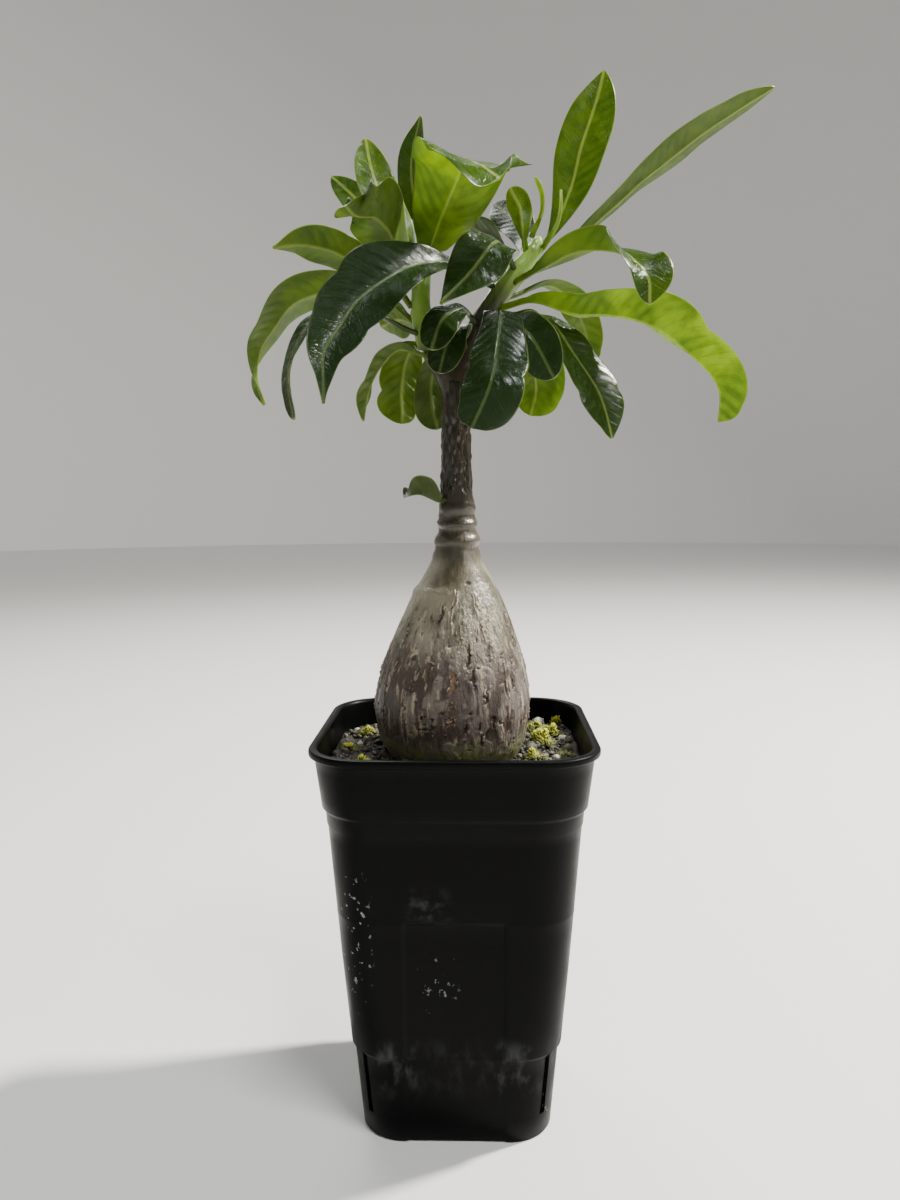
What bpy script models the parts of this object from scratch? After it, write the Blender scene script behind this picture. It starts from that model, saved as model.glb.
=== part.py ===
"""Potted pachypodium: a bottle-shaped trunk with two leafy branches in a deep square pot.

The driving dimensions are in millimetres and MM turns them into Blender's metres. The origin is
the middle of the pot's flat foot, with +X to the right, +Y to the back and +Z up.
"""
import math
import random
from collections import namedtuple

import bmesh
import bpy
import numpy as np
from mathutils import Matrix, Vector

MM = 0.001
OBJECT_NAME = "potted_pachypodium"
GAP = 0.3                    # clearance between pieces that touch
WELD = 0.01                  # points closer than this are one point

# Pot: a tapered square with round corners, a stepped collar and a lip
POT_HEIGHT = 128.3
LIP_HALF = 45.0              # half of the lip's outer width
LIP_HEIGHT = 2.5
LIP_CORNER = 18.5
COLLAR_TOP_HALF = 43.5
COLLAR_FOOT_HALF = 41.4
COLLAR_FOOT_Z = 108.7
BODY_TOP_HALF = 40.3
BODY_FOOT_HALF = 31.6
BODY_CORNER = 13.9
CORNER_GROW_Z = 60.0         # the round corners widen from here up to the lip
WALL = 1.3
FLOOR = 1.8
EDGE = 0.6                   # break of the pot's outer edges
CORNER_STEPS = 4
POT_SMOOTH = 35.0            # edges of the pot sharper than this angle stay crisp

# Recessed panel on each side, and the foot that steps in all round
PANEL_HALF = 15.0
PANEL_TOP_Z = 76.0
PANEL_DEPTH = 1.2
FOOT_TOP_Z = 30.0
FOOT_INSET = 0.8
RECESS_SLOPE = 1.2

# Openings that let the water out
SLIT_WIDTH = 2.2
SLIT_FOOT_Z = 8.0
SLIT_TOP_Z = 30.0
SLIT_CUT = 8.0               # length of the tool that cuts a slit, across the wall
DRAIN_RADIUS = 3.5
DRAIN_OFFSET = 15.0
DRAIN_SIDES = 12

# Soil and the grit on it
SOIL_TOP_Z = 119.5
GRAIN_COUNT = 46
GRAIN_RADIUS = (1.1, 2.3)
GRAIN_SUNK = 0.35            # share of its radius that a grain's middle lies under the surface
GRAIN_EDGE_ROOM = 2.6        # kept clear between a grain's middle and the pot's wall
GRAIN_TRUNK_ROOM = 3.4       # kept clear between a grain's middle and the trunk
GRAIN_HEIGHT = 2.0           # the trunk's width is read this far above the soil
GRAIN_SQUASH = [(0.8, 1.15), (0.7, 1.0), (0.6, 0.9)]
GRAIN_SEED = 11

# Trunk: height above the floor and radius, from the cut top of the stem down to the tap root
TRUNK_PROFILE = [
    (241.0, 4.3), (226.0, 4.6), (211.0, 5.0), (203.0, 5.4), (200.6, 6.0), (198.8, 5.6),
    (195.4, 6.4), (193.8, 6.1), (190.2, 7.2), (188.2, 6.9), (186.0, 7.7), (182.8, 8.8),
    (180.1, 10.2), (177.2, 11.8), (174.8, 13.2), (170.2, 15.5), (163.2, 18.3), (156.8, 20.8),
    (148.7, 23.5), (141.0, 25.1), (134.4, 25.5), (128.5, 24.8), (123.0, 23.3), (118.0, 20.6),
    (111.0, 17.0), (100.0, 12.0), (86.0, 7.5), (72.0, 4.5), (62.0, 2.4),
]
TRUNK_SIDES = 22
ROOT_TIP = 2.0               # length of the tap root's point
BARK_SMOOTH = 50.0
TRUNK_LEAN = [(62.0, 0.0), (116.0, -0.4), (130.0, -1.4), (150.0, -0.8), (165.0, 0.1), (241.0, 0.4)]

# Branches: points of the middle line with the radius at each
BRANCHES = {
    "left": [
        (0.2, 0, 236, 3.9), (-2.4, 0, 244, 3.9), (-6.0, 1, 250, 3.6), (-9.3, 2, 256.5, 3.4),
        (-10.5, 2, 264, 3.2), (-10.3, 2, 272, 2.9), (-9.4, 2, 279, 2.4), (-8.9, 2, 283, 1.3),
    ],
    "right": [
        (0.4, 0, 236, 4.0), (2.2, 0, 245, 4.1), (5.6, 0, 253, 3.8), (10.5, -1, 262, 3.6),
        (15.8, -1, 269.5, 3.4), (21.5, 0, 276.5, 3.1), (25.8, 1, 282.5, 2.5), (27.6, 1, 286.5, 1.3),
    ],
    "stem": [
        (0.4, 0, 190, 6.9), (0.4, 0, 200, 5.9), (0.4, 0, 211, 5.0), (0.4, 0, 226, 4.6),
        (0.4, 0, 241, 4.3),
    ],
}
BRANCH_ROUND = 3

# Leaves: the blade follows a midrib through its points, out of a short stalk
STALK_HALF = 1.0
STALK_SHARE = 0.1            # share of the midrib that is bare stalk
TIP_HALF = 0.45
RIB_THICKNESS = 1.6
MARGIN_THICKNESS = 0.75
LEAF_STEPS = 12
SIDE_STEPS = 2
OUTLINE_RISE = 0.75          # how slowly the blade widens from its stalk
OUTLINE_ROUND = 3.2          # how blunt its tip is
OUTLINE_TIP = 0.55
RISE_TAPER = 0.5             # how far a leaf's own taper changes the three values above
ROUND_TAPER = 0.6
TIP_TAPER = 0.75
OUTLINE_SAMPLES = 201
LOBE_START = 0.2             # share of the blade that has no lobes
LOBE_GROWTH = 2.5            # how fast the lobes deepen after it
LOBE_SHIFT = 0.3             # how far the two sides' lobes are out of step
LOBE_SHARPNESS = 1.5
PATH_SAMPLES = 40            # samples of a midrib between two of its points
LEAF_SMOOTH = 60.0
WAVE_COUNT = 2.5

Leaf = namedtuple("Leaf",
                  "branch place width facing roll twist fold curl wave lobes depth taper points")

# place runs 0 to 1 up the branch, facing is the leaf's outward direction in degrees about +Z,
# roll and twist turn the blade about its midrib at the stalk and further at the tip, fold and
# curl lift its halves and margins, wave is in millimetres, lobes and depth cut the margin, and
# taper draws the tip out (above 0) or makes it broad (below 0)
LEAVES = {
    "leaf_left_01": Leaf("left", 0.86, 13, 105, 0, 0, 0.10, 0.1, 0.4, 0, 0.00, 0.5,
                         [(-16, 6, 290), (-23, 10, 301), (-27, 13, 312), (-29, 15, 322)]),
    "leaf_left_02": Leaf("left", 0.78, 12, 140, -45, 0, 0.15, 0.0, 0.5, 0, 0.00, 0.4,
                         [(-17, 13, 285), (-28, 24, 300), (-36, 30, 309), (-43, 34, 316)]),
    "leaf_left_03": Leaf("left", 0.80, 21, 275, 31, -45, 0.70, 0.01, 0.8, 0, 0.00, -0.1,
                         [(-18, -9, 283), (-20, -13, 286), (-23, -17, 288), (-29, -21, 288),
                          (-31, -23, 290)]),
    "leaf_left_04": Leaf("left", 0.97, 12, 95, -40, -10, 0.20, 0.0, 0.6, 0, 0.00, 0.6,
                         [(-9, 10, 293), (-13, 17, 304), (-14, 20, 316), (-11, 21, 331)]),
    "leaf_left_05": Leaf("left", 0.95, 32, 290, -14, 17, 0.06, 0.09, 1.0, 0, 0.00, -0.4,
                         [(-7, -9, 281), (-2, -7, 294), (2, -11, 302), (3, -16, 304),
                          (8, -25, 300), (10, -31, 297), (14, -32, 294)]),
    "leaf_left_06": Leaf("left", 0.66, 14, 199, 46, 4, 0.41, -0.06, 0.8, 2, 0.10, 1.1,
                         [(-21, 0, 275), (-30, -1, 278), (-39, -4, 282), (-48, -7, 283),
                          (-56, -8, 282)]),
    "leaf_left_07": Leaf("left", 0.58, 19, 179, 42, -85, 0.44, -0.24, 0.8, 3, 0.10, 0.9,
                         [(-24, 8, 270), (-35, 9, 273), (-45, 10, 272), (-54, 11, 268),
                          (-61, 11, 260), (-65, 10, 253), (-66, 8, 245), (-63, 6, 235)]),
    "leaf_left_08": Leaf("left", 0.48, 11, 195, -15, 0, 0.25, 0.0, 0.8, 3, 0.18, 0.0,
                         [(-34, -16, 262), (-44, -20, 255), (-49, -22, 243), (-48, -22, 228)]),
    "leaf_left_09": Leaf("left", 0.36, 17, 110, 0, 0, 0.10, 0.0, 0.8, 3, 0.22, 0.0,
                         [(-13, 10, 255), (-16, 13, 251), (-18, 14, 242), (-18, 14, 229)]),
    "leaf_left_10": Leaf("left", 0.33, 11, 195, 25, 0, 0.30, 0.0, 0.6, 3, 0.15, 0.0,
                         [(-17, -7, 251), (-23, -11, 245), (-26, -13, 238), (-28, -14, 228)]),
    "leaf_left_11": Leaf("left", 0.22, 12, 95, 0, 0, 0.10, 0.0, 0.6, 2, 0.10, 0.0,
                         [(-6, 12, 250), (-8, 15, 243), (-8, 15, 236), (-6, 14, 227)]),
    "leaf_left_12": Leaf("left", 0.52, 15, 120, 50, 0, 0.10, 0.0, 0.8, 3, 0.18, 0.0,
                         [(-15, 14, 263), (-20, 22, 265), (-26, 29, 264)]),
    "leaf_right_01": Leaf("right", 0.42, 12, 215, -40, 0, 0.10, -0.1, 0.5, 2, 0.10, 0.0,
                          [(3, -12, 262), (-3, -20, 257), (-6, -24, 248)]),
    "leaf_right_02": Leaf("right", 0.28, 13, 245, 0, 0, 0.10, -0.1, 0.5, 2, 0.10, 0.0,
                          [(2, -12, 257), (-1, -16, 252), (-4, -17, 242)]),
    "leaf_right_03": Leaf("right", 0.76, 17, 235, -38, 16, 0.07, 0.07, 0.8, 2, 0.05, 1.2,
                          [(16, -11, 280), (12, -23, 278), (6, -26, 270), (-3, -31, 260)]),
    "leaf_right_04": Leaf("right", 0.74, 16, 125, 45, 0, 0.10, 0.0, 0.8, 2, 0.08, 0.0,
                          [(16, 8, 286), (9, 14, 292), (0, 22, 301)]),
    "leaf_right_05": Leaf("right", 0.86, 13, 100, -30, 0, 0.10, 0.0, 0.8, 2, 0.08, 0.5,
                          [(23, 17, 291), (19, 30, 301), (14, 40, 308)]),
    "leaf_right_06": Leaf("right", 0.90, 8, 225, 20, 0, 0.20, 0.0, 0.4, 0, 0.00, 0.0,
                          [(22, -3, 288), (21, -1, 295), (18, 0, 301)]),
    "leaf_right_07": Leaf("right", 1.00, 3, 200, 0, 0, 0.20, 0.0, 0.0, 0, 0.00, 0.0,
                          [(28, 0, 294), (28, 0, 299), (26, -1, 304)]),
    "leaf_right_08": Leaf("right", 0.97, 4, 350, 0, 0, 0.20, 0.0, 0.0, 0, 0.00, 0.0,
                          [(33, -1, 290), (34, -1, 295), (34, -1, 300)]),
    "leaf_right_09": Leaf("right", 0.93, 17, 75, 0, 0, 0.12, 0.0, 0.6, 0, 0.00, 0.7,
                          [(33, 8, 291), (38, 10, 303), (42, 11, 318), (47, 12, 333),
                           (49, 13, 341)]),
    "leaf_right_10": Leaf("right", 0.88, 14, 12, -35, 0, 0.25, 0.0, 0.5, 0, 0.00, 0.6,
                          [(32, 4, 281), (45, 8, 292), (62, 13, 307), (81, 16, 322),
                           (105, 18, 337)]),
    "leaf_right_11": Leaf("right", 0.72, 18, 318, -24, 78, 0.53, -0.06, 0.6, 0, 0.00, 0.4,
                          [(28, -9, 275), (40, -17, 278), (49, -22, 276), (53, -29, 271),
                           (56, -31, 267), (57, -32, 259)]),
    "leaf_right_12": Leaf("right", 0.56, 18, 348, -36, 15, 0.95, -0.19, 1.2, 4, 0.16, 0.0,
                          [(24, -8, 265), (39, -13, 260), (47, -12, 260), (59, -14, 257),
                           (73, -15, 247), (81, -17, 236), (82, -13, 227)]),
    "leaf_right_13": Leaf("right", 0.66, 13, 45, -10, 0, 0.15, 0.0, 0.8, 3, 0.12, 0.0,
                          [(33, 13, 274), (41, 20, 268), (45, 25, 261), (47, 28, 250)]),
    "leaf_right_14": Leaf("right", 0.52, 19, 279, -26, -5, 0.23, -0.09, 0.8, 4, 0.15, 0.5,
                          [(28, -8, 260), (37, -12, 248), (45, -14, 235), (49, -14, 222)]),
    "leaf_right_15": Leaf("right", 0.38, 14, 288, 33, 10, 0.16, 0.15, 0.4, 2, 0.05, 0.0,
                          [(19, -14, 257), (23, -20, 253), (30.5, -24, 239.5)]),
    "leaf_right_16": Leaf("right", 0.40, 20, 256, -2, 8, 0.06, -0.29, 0.8, 3, 0.18, -0.4,
                          [(14, -17, 260), (13, -31, 244), (12, -36, 238), (6, -37, 224)]),
    "leaf_right_17": Leaf("right", 0.36, 22, 60, 0, 0, 0.10, 0.0, 0.8, 2, 0.10, 0.0,
                          [(20, 12, 260), (26, 18, 250), (28, 21, 241), (26, 22, 232)]),
    "leaf_right_18": Leaf("right", 0.62, 21, 217, -55, -26, 0.40, 0.19, 1.0, 3, 0.20, 1.3,
                          [(-1, -9, 276), (-6, -16, 275), (-16, -25, 270), (-27, -31, 261),
                           (-32, -35, 253), (-36, -39, 245), (-36, -41, 237), (-36, -41, 231)]),
    "leaf_stem": Leaf("stem", 0.26, 14, 170, 36, -63, 0.42, 0.16, 0.2, 0, 0.00, 0.4,
                      [(-5, -6, 203.5), (-11.5, -8, 205.5), (-16, -9, 204.5)]),
}

# Colours, as linear red, green and blue, with roughness
COLOURS = {
    "pot_plastic": ((0.010, 0.011, 0.012), 0.45),
    "soil_mix": ((0.045, 0.033, 0.022), 0.95),
    "bark": ((0.230, 0.190, 0.165), 0.75),
    "leaf_green": ((0.060, 0.150, 0.020), 0.35),
}


def clear_scene():
    """Remove the objects that are in the file."""
    for obj in list(bpy.data.objects):
        bpy.data.objects.remove(obj, do_unlink=True)


def new_collection(name):
    """Make a collection under the scene's own one."""
    collection = bpy.data.collections.new(name)
    bpy.context.scene.collection.children.link(collection)
    return collection


def new_material(name):
    """Make a Principled material from the table of colours."""
    colour, roughness = COLOURS[name]
    material = bpy.data.materials.new(name)
    material.use_nodes = True
    shader = material.node_tree.nodes["Principled BSDF"]
    shader.inputs["Base Color"].default_value = (*colour, 1.0)
    shader.inputs["Roughness"].default_value = roughness
    shader.inputs["Metallic"].default_value = 0.0
    return material


def new_object(name, mesh, collection, material=None):
    """Put a mesh into the scene under a name."""
    obj = bpy.data.objects.new(name, mesh)
    collection.objects.link(obj)
    if material is not None:
        mesh.materials.append(material)
    return obj


def new_cutter(name, mesh, collection):
    """Put a mesh into the scene as a guide that is not part of the object."""
    obj = new_object(name, mesh, collection)
    obj.hide_render = True
    obj.display_type = "WIRE"
    return obj


def face_out(bm):
    """Point a closed body's faces out, so that its volume is positive."""
    bmesh.ops.recalc_face_normals(bm, faces=bm.faces)
    if bm.calc_volume(signed=True) < 0:
        bmesh.ops.reverse_faces(bm, faces=bm.faces)


def bm_to_mesh(name, bm):
    """Turn a bmesh into a mesh with its faces pointing out."""
    face_out(bm)
    mesh = bpy.data.meshes.new(name)
    bm.to_mesh(mesh)
    bm.free()
    return mesh


def evaluated_mesh(obj, name):
    """A copy of an object's mesh with its modifiers applied and its loose caps welded."""
    depsgraph = bpy.context.evaluated_depsgraph_get()
    mesh = bpy.data.meshes.new_from_object(obj.evaluated_get(depsgraph))
    mesh.name = name
    bm = bmesh.new()
    bm.from_mesh(mesh)
    bmesh.ops.remove_doubles(bm, verts=bm.verts, dist=WELD * MM)
    face_out(bm)
    bm.to_mesh(mesh)
    bm.free()
    return mesh


def boolean(obj, tools, operation):
    """Cut an object by a collection, or join the collection to it, and apply the result."""
    modifier = obj.modifiers.new(operation.lower(), "BOOLEAN")
    modifier.operation = operation
    modifier.operand_type = "COLLECTION"
    modifier.collection = tools
    modifier.solver = "EXACT"
    mesh = evaluated_mesh(obj, obj.name)
    obj.modifiers.clear()
    obj.data = mesh
    for tool in list(tools.objects):
        bpy.data.objects.remove(tool, do_unlink=True)


def smooth(mesh, degrees):
    """Shade a mesh smooth except along its sharp edges."""
    mesh.shade_smooth()
    mesh.set_sharp_from_angle(angle=math.radians(degrees))


# Pot and soil share one outline, so the soil fits the wall that holds it

def outline(half, corner, panel):
    """A square with round corners, as points in the plane, each side recessed by panel."""
    edge = half - corner
    side = [
        (-edge, 0.0), (-PANEL_HALF - RECESS_SLOPE, 0.0), (-PANEL_HALF, panel),
        (PANEL_HALF, panel), (PANEL_HALF + RECESS_SLOPE, 0.0), (edge, 0.0),
    ]
    points = []
    for quarter in range(4):
        turn = Matrix.Rotation(quarter * math.pi / 2, 2)
        for along, depth in side:
            points.append(turn @ Vector((along, -half + depth)))
        for step in range(1, CORNER_STEPS):
            angle = -math.pi / 2 + step * math.pi / 2 / CORNER_STEPS
            arc = Vector((edge + corner * math.cos(angle), -edge + corner * math.sin(angle)))
            points.append(turn @ arc)
    return points


def loft(name, rings):
    """A closed body through rings of height and outline, capped at both ends.

    Each quarter between two rings is split the same way going up and down, so a body inside
    another fits it.
    """
    bm = bmesh.new()
    rows = []
    for height, points in rings:
        rows.append([bm.verts.new((p.x * MM, p.y * MM, height * MM)) for p in points])
    count = len(rows[0])
    for first, second in zip(rows, rows[1:]):
        lower, upper = (first, second) if first[0].co.z <= second[0].co.z else (second, first)
        for i in range(count):
            j = (i + 1) % count
            bm.faces.new((lower[i], lower[j], upper[j]))
            bm.faces.new((lower[i], upper[j], upper[i]))
    bm.faces.new(list(reversed(rows[0])))
    bm.faces.new(rows[-1])
    return bm_to_mesh(name, bm)


def body_half(height):
    """Half of the pot's outer width below the collar."""
    return BODY_FOOT_HALF + (BODY_TOP_HALF - BODY_FOOT_HALF) * height / COLLAR_FOOT_Z


def body_corner(height):
    """Radius of the pot's round corners, which grow towards the lip."""
    rise = max(0.0, height - CORNER_GROW_Z) / (POT_HEIGHT - CORNER_GROW_Z)
    return BODY_CORNER + (LIP_CORNER - BODY_CORNER) * rise


def collar_half(height):
    """Half of the pot's outer width on the collar."""
    rise = (height - COLLAR_FOOT_Z) / (POT_HEIGHT - LIP_HEIGHT - COLLAR_FOOT_Z)
    return COLLAR_FOOT_HALF + (COLLAR_TOP_HALF - COLLAR_FOOT_HALF) * rise


def wall_rings(inset, foot_z, top_z):
    """Rings of the pot's wall, moved in by inset, from a height up to another."""
    foot_panel = PANEL_DEPTH - FOOT_INSET
    levels = [
        (foot_z, body_half(foot_z) - FOOT_INSET, foot_panel),
        (FOOT_TOP_Z - RECESS_SLOPE, body_half(FOOT_TOP_Z) - FOOT_INSET, foot_panel),
        (FOOT_TOP_Z, body_half(FOOT_TOP_Z), PANEL_DEPTH),
        (PANEL_TOP_Z - RECESS_SLOPE, body_half(PANEL_TOP_Z - RECESS_SLOPE), PANEL_DEPTH),
        (PANEL_TOP_Z, body_half(PANEL_TOP_Z), 0.0),
        (COLLAR_FOOT_Z - RECESS_SLOPE / 2, BODY_TOP_HALF, 0.0),
        (COLLAR_FOOT_Z + RECESS_SLOPE / 2, COLLAR_FOOT_HALF, 0.0),
        (top_z, collar_half(top_z), 0.0),
    ]
    rings = []
    for height, half, panel in levels:
        rings.append((height, outline(half - inset, body_corner(height) - inset, panel)))
    return rings


def build_pot(parts, cutters):
    """The pot: one moulded wall from its foot over the lip and down to the floor inside."""
    lip_foot = POT_HEIGHT - LIP_HEIGHT
    outer = wall_rings(0.0, EDGE, lip_foot)
    foot_half = body_half(0.0) - FOOT_INSET - EDGE
    foot = outline(foot_half, BODY_CORNER - EDGE, PANEL_DEPTH - FOOT_INSET)
    lip = [
        (lip_foot + EDGE / 2, outline(LIP_HALF - EDGE / 2, LIP_CORNER, 0.0)),
        (lip_foot + EDGE, outline(LIP_HALF, LIP_CORNER, 0.0)),
        (POT_HEIGHT - EDGE, outline(LIP_HALF, LIP_CORNER, 0.0)),
        (POT_HEIGHT, outline(LIP_HALF - EDGE, LIP_CORNER - EDGE, 0.0)),
        (POT_HEIGHT, outline(COLLAR_TOP_HALF - EDGE, LIP_CORNER - WALL, 0.0)),
    ]
    inner = list(reversed(wall_rings(WALL, FLOOR, POT_HEIGHT - WALL)))
    mesh = loft("pot", [(0.0, foot)] + outer + lip + inner)
    pot = new_object("pot", mesh, parts, new_material("pot_plastic"))

    slit_height = (SLIT_TOP_Z - SLIT_FOOT_Z) * MM
    slit_z = (SLIT_TOP_Z + SLIT_FOOT_Z) / 2
    reach = (body_half(slit_z) - BODY_CORNER) * math.sqrt(2) + BODY_CORNER
    for quarter in range(4):
        angle = math.pi / 4 + quarter * math.pi / 2
        bm = bmesh.new()
        bmesh.ops.create_cube(bm, size=1.0)
        size = Matrix.Diagonal((SLIT_CUT * MM, SLIT_WIDTH * MM, slit_height, 1.0))
        place = Matrix.Rotation(angle, 4, "Z") @ Matrix.Translation((reach * MM, 0, slit_z * MM))
        bm.transform(place @ size)
        new_cutter(f"slit_{quarter}", bm_to_mesh("slit", bm), cutters)
        bm = bmesh.new()
        bmesh.ops.create_cone(bm, cap_ends=True, segments=DRAIN_SIDES,
                              radius1=DRAIN_RADIUS * MM, radius2=DRAIN_RADIUS * MM,
                              depth=4 * FLOOR * MM)
        place = Matrix.Rotation(angle, 4, "Z") @ Matrix.Translation((DRAIN_OFFSET * MM, 0, 0))
        bm.transform(place)
        new_cutter(f"drain_{quarter}", bm_to_mesh("drain", bm), cutters)
    boolean(pot, cutters, "DIFFERENCE")
    smooth(pot.data, POT_SMOOTH)
    return pot


# Trunk

def trunk_lean(height):
    """How far the trunk's middle stands to the right of the pot's middle at a height."""
    heights, shifts = zip(*TRUNK_LEAN)
    return float(np.interp(height, heights, shifts))


def turned_body(name, collection, clearance):
    """The trunk's profile turned about its leaning middle, grown by a clearance."""
    profile = bpy.data.meshes.new(name + "_profile")
    top, top_radius = TRUNK_PROFILE[0]
    foot, _ = TRUNK_PROFILE[-1]
    points = [(0.0, 0.0, (top + clearance) * MM)]
    points += [((radius + clearance) * MM, 0.0, height * MM) for height, radius in TRUNK_PROFILE]
    points.append((0.0, 0.0, (foot - ROOT_TIP - clearance) * MM))
    edges = [(i, i + 1) for i in range(len(points) - 1)]
    profile.from_pydata(points, edges, [])
    obj = new_object(name, profile, collection)
    screw = obj.modifiers.new("turn", "SCREW")
    screw.axis = "Z"
    screw.angle = 2 * math.pi
    screw.steps = TRUNK_SIDES
    screw.render_steps = TRUNK_SIDES
    screw.use_merge_vertices = True
    screw.merge_threshold = WELD * MM
    mesh = evaluated_mesh(obj, name)
    obj.modifiers.clear()
    obj.data = mesh
    for vertex in mesh.vertices:
        vertex.co.x += trunk_lean(vertex.co.z / MM) * MM
    return obj


def build_trunk(parts, cutters):
    """The trunk: the turned body with its two branches grown out of its top."""
    trunk = turned_body("trunk", parts, 0.0)
    for side in ("left", "right"):
        curve = bpy.data.curves.new(side, "CURVE")
        curve.dimensions = "3D"
        curve.bevel_depth = MM
        curve.bevel_resolution = BRANCH_ROUND
        curve.use_fill_caps = True
        spline = curve.splines.new("POLY")
        points = BRANCHES[side]
        spline.points.add(len(points) - 1)
        for point, (x, y, z, radius) in zip(spline.points, points):
            point.co = (x * MM, y * MM, z * MM, 1.0)
            point.radius = radius
        tube = bpy.data.objects.new(side, curve)
        parts.objects.link(tube)
        mesh = evaluated_mesh(tube, side)
        bpy.data.objects.remove(tube, do_unlink=True)
        new_cutter("branch_" + side, mesh, cutters)
    boolean(trunk, cutters, "UNION")
    trunk.data.materials.clear()
    trunk.data.materials.append(new_material("bark"))
    smooth(trunk.data, BARK_SMOOTH)
    return trunk


# Soil

def trunk_radius(height):
    """The trunk's radius at a height."""
    heights, radii = zip(*reversed(TRUNK_PROFILE))
    return float(np.interp(height, heights, radii))


def build_soil(parts, cutters):
    """The soil: it fills the pot round a plain hole for the trunk, with grit fused on top."""
    inset = WALL + GAP
    rings = wall_rings(inset, FLOOR + GAP, SOIL_TOP_Z)
    soil = new_object("soil", loft("soil", rings), parts)

    draw = random.Random(GRAIN_SEED)
    room = collar_half(SOIL_TOP_Z) - inset - GRAIN_EDGE_ROOM
    corner = body_corner(SOIL_TOP_Z) - inset
    keep_out = trunk_radius(SOIL_TOP_Z + GRAIN_HEIGHT) + GRAIN_TRUNK_ROOM
    placed = []
    while len(placed) < GRAIN_COUNT:
        x = draw.uniform(-room, room)
        y = draw.uniform(-room, room)
        radius = draw.uniform(*GRAIN_RADIUS)
        out_x = max(0.0, abs(x) - (room - corner))
        out_y = max(0.0, abs(y) - (room - corner))
        if math.hypot(out_x, out_y) > corner:
            continue
        if math.hypot(x - trunk_lean(SOIL_TOP_Z), y) < keep_out:
            continue
        if any(math.hypot(x - a, y - b) < radius + c for a, b, c in placed):
            continue
        placed.append((x, y, radius))
        bm = bmesh.new()
        bmesh.ops.create_icosphere(bm, subdivisions=1, radius=radius * MM)
        squash = Matrix.Diagonal([draw.uniform(*span) for span in GRAIN_SQUASH] + [1.0])
        turn = Matrix.Rotation(draw.uniform(0, math.pi), 4, "Z")
        height = SOIL_TOP_Z - GRAIN_SUNK * radius
        bm.transform(Matrix.Translation((x * MM, y * MM, height * MM)) @ turn @ squash)
        new_cutter(f"grain_{len(placed)}", bm_to_mesh("grain", bm), cutters)
    boolean(soil, cutters, "UNION")
    turned_body("root_hole", cutters, GAP)
    boolean(soil, cutters, "DIFFERENCE")
    soil.data.materials.clear()
    soil.data.materials.append(new_material("soil_mix"))
    return soil


# Leaves

def smooth_path(points, count):
    """Evenly spaced places on a smooth curve through points, with its unit tangents."""
    points = np.asarray(points, float)
    knots = np.concatenate([[0.0], np.cumsum(np.linalg.norm(np.diff(points, axis=0), axis=1))])
    slopes = np.gradient(points, knots, axis=0)
    fine = np.linspace(0.0, knots[-1], PATH_SAMPLES * len(points))
    index = np.clip(np.searchsorted(knots, fine, side="right") - 1, 0, len(points) - 2)
    span = (knots[index + 1] - knots[index])[:, None]
    t = (fine[:, None] - knots[index][:, None]) / span
    path = ((2 * t**3 - 3 * t**2 + 1) * points[index] + (t**3 - 2 * t**2 + t) * span * slopes[index]
            + (3 * t**2 - 2 * t**3) * points[index + 1] + (t**3 - t**2) * span * slopes[index + 1])
    length = np.concatenate([[0.0], np.cumsum(np.linalg.norm(np.diff(path, axis=0), axis=1))])
    even = np.linspace(0.0, length[-1], count + 1)
    places = np.stack([np.interp(even, length, path[:, k]) for k in range(3)], axis=1)
    tangents = np.gradient(places, axis=0)
    tangents /= np.linalg.norm(tangents, axis=1)[:, None]
    return places, tangents


def leaf_base(leaf):
    """Where a leaf's stalk meets its branch: just off the bark, on the side it grows to."""
    rows = np.array(BRANCHES[leaf.branch], float)
    axis = rows[:, :3]
    along = np.concatenate([[0.0], np.cumsum(np.linalg.norm(np.diff(axis, axis=0), axis=1))])
    reach = leaf.place * along[-1]
    middle = np.array([np.interp(reach, along, axis[:, k]) for k in range(3)])
    radius = np.interp(reach, along, rows[:, 3])
    nearest = min(np.searchsorted(along, reach), len(rows) - 1)
    growth = axis[nearest] - axis[nearest - 1]
    growth /= np.linalg.norm(growth)
    toward = np.array(leaf.points[0], float) - middle
    toward -= growth * toward.dot(growth)
    toward /= np.linalg.norm(toward)
    start = np.array(leaf.points[0], float) - middle - toward * radius
    slant = toward.dot(start) / np.linalg.norm(start)
    return middle + toward * (radius + GAP + STALK_HALF * math.sqrt(1 - slant**2))


def outline_share(q, taper):
    """The blade's half width as a share of its widest, from stalk (0) to tip (1)."""
    rise = OUTLINE_RISE * math.exp(RISE_TAPER * taper)
    blunt = OUTLINE_ROUND * math.exp(-ROUND_TAPER * taper)
    tip = OUTLINE_TIP * math.exp(TIP_TAPER * taper)
    grid = np.linspace(0.0, 1.0, OUTLINE_SAMPLES)
    widest = np.max(grid**rise * (1 - grid**blunt)**tip)
    return q**rise * (1 - q**blunt)**tip / widest


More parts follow.
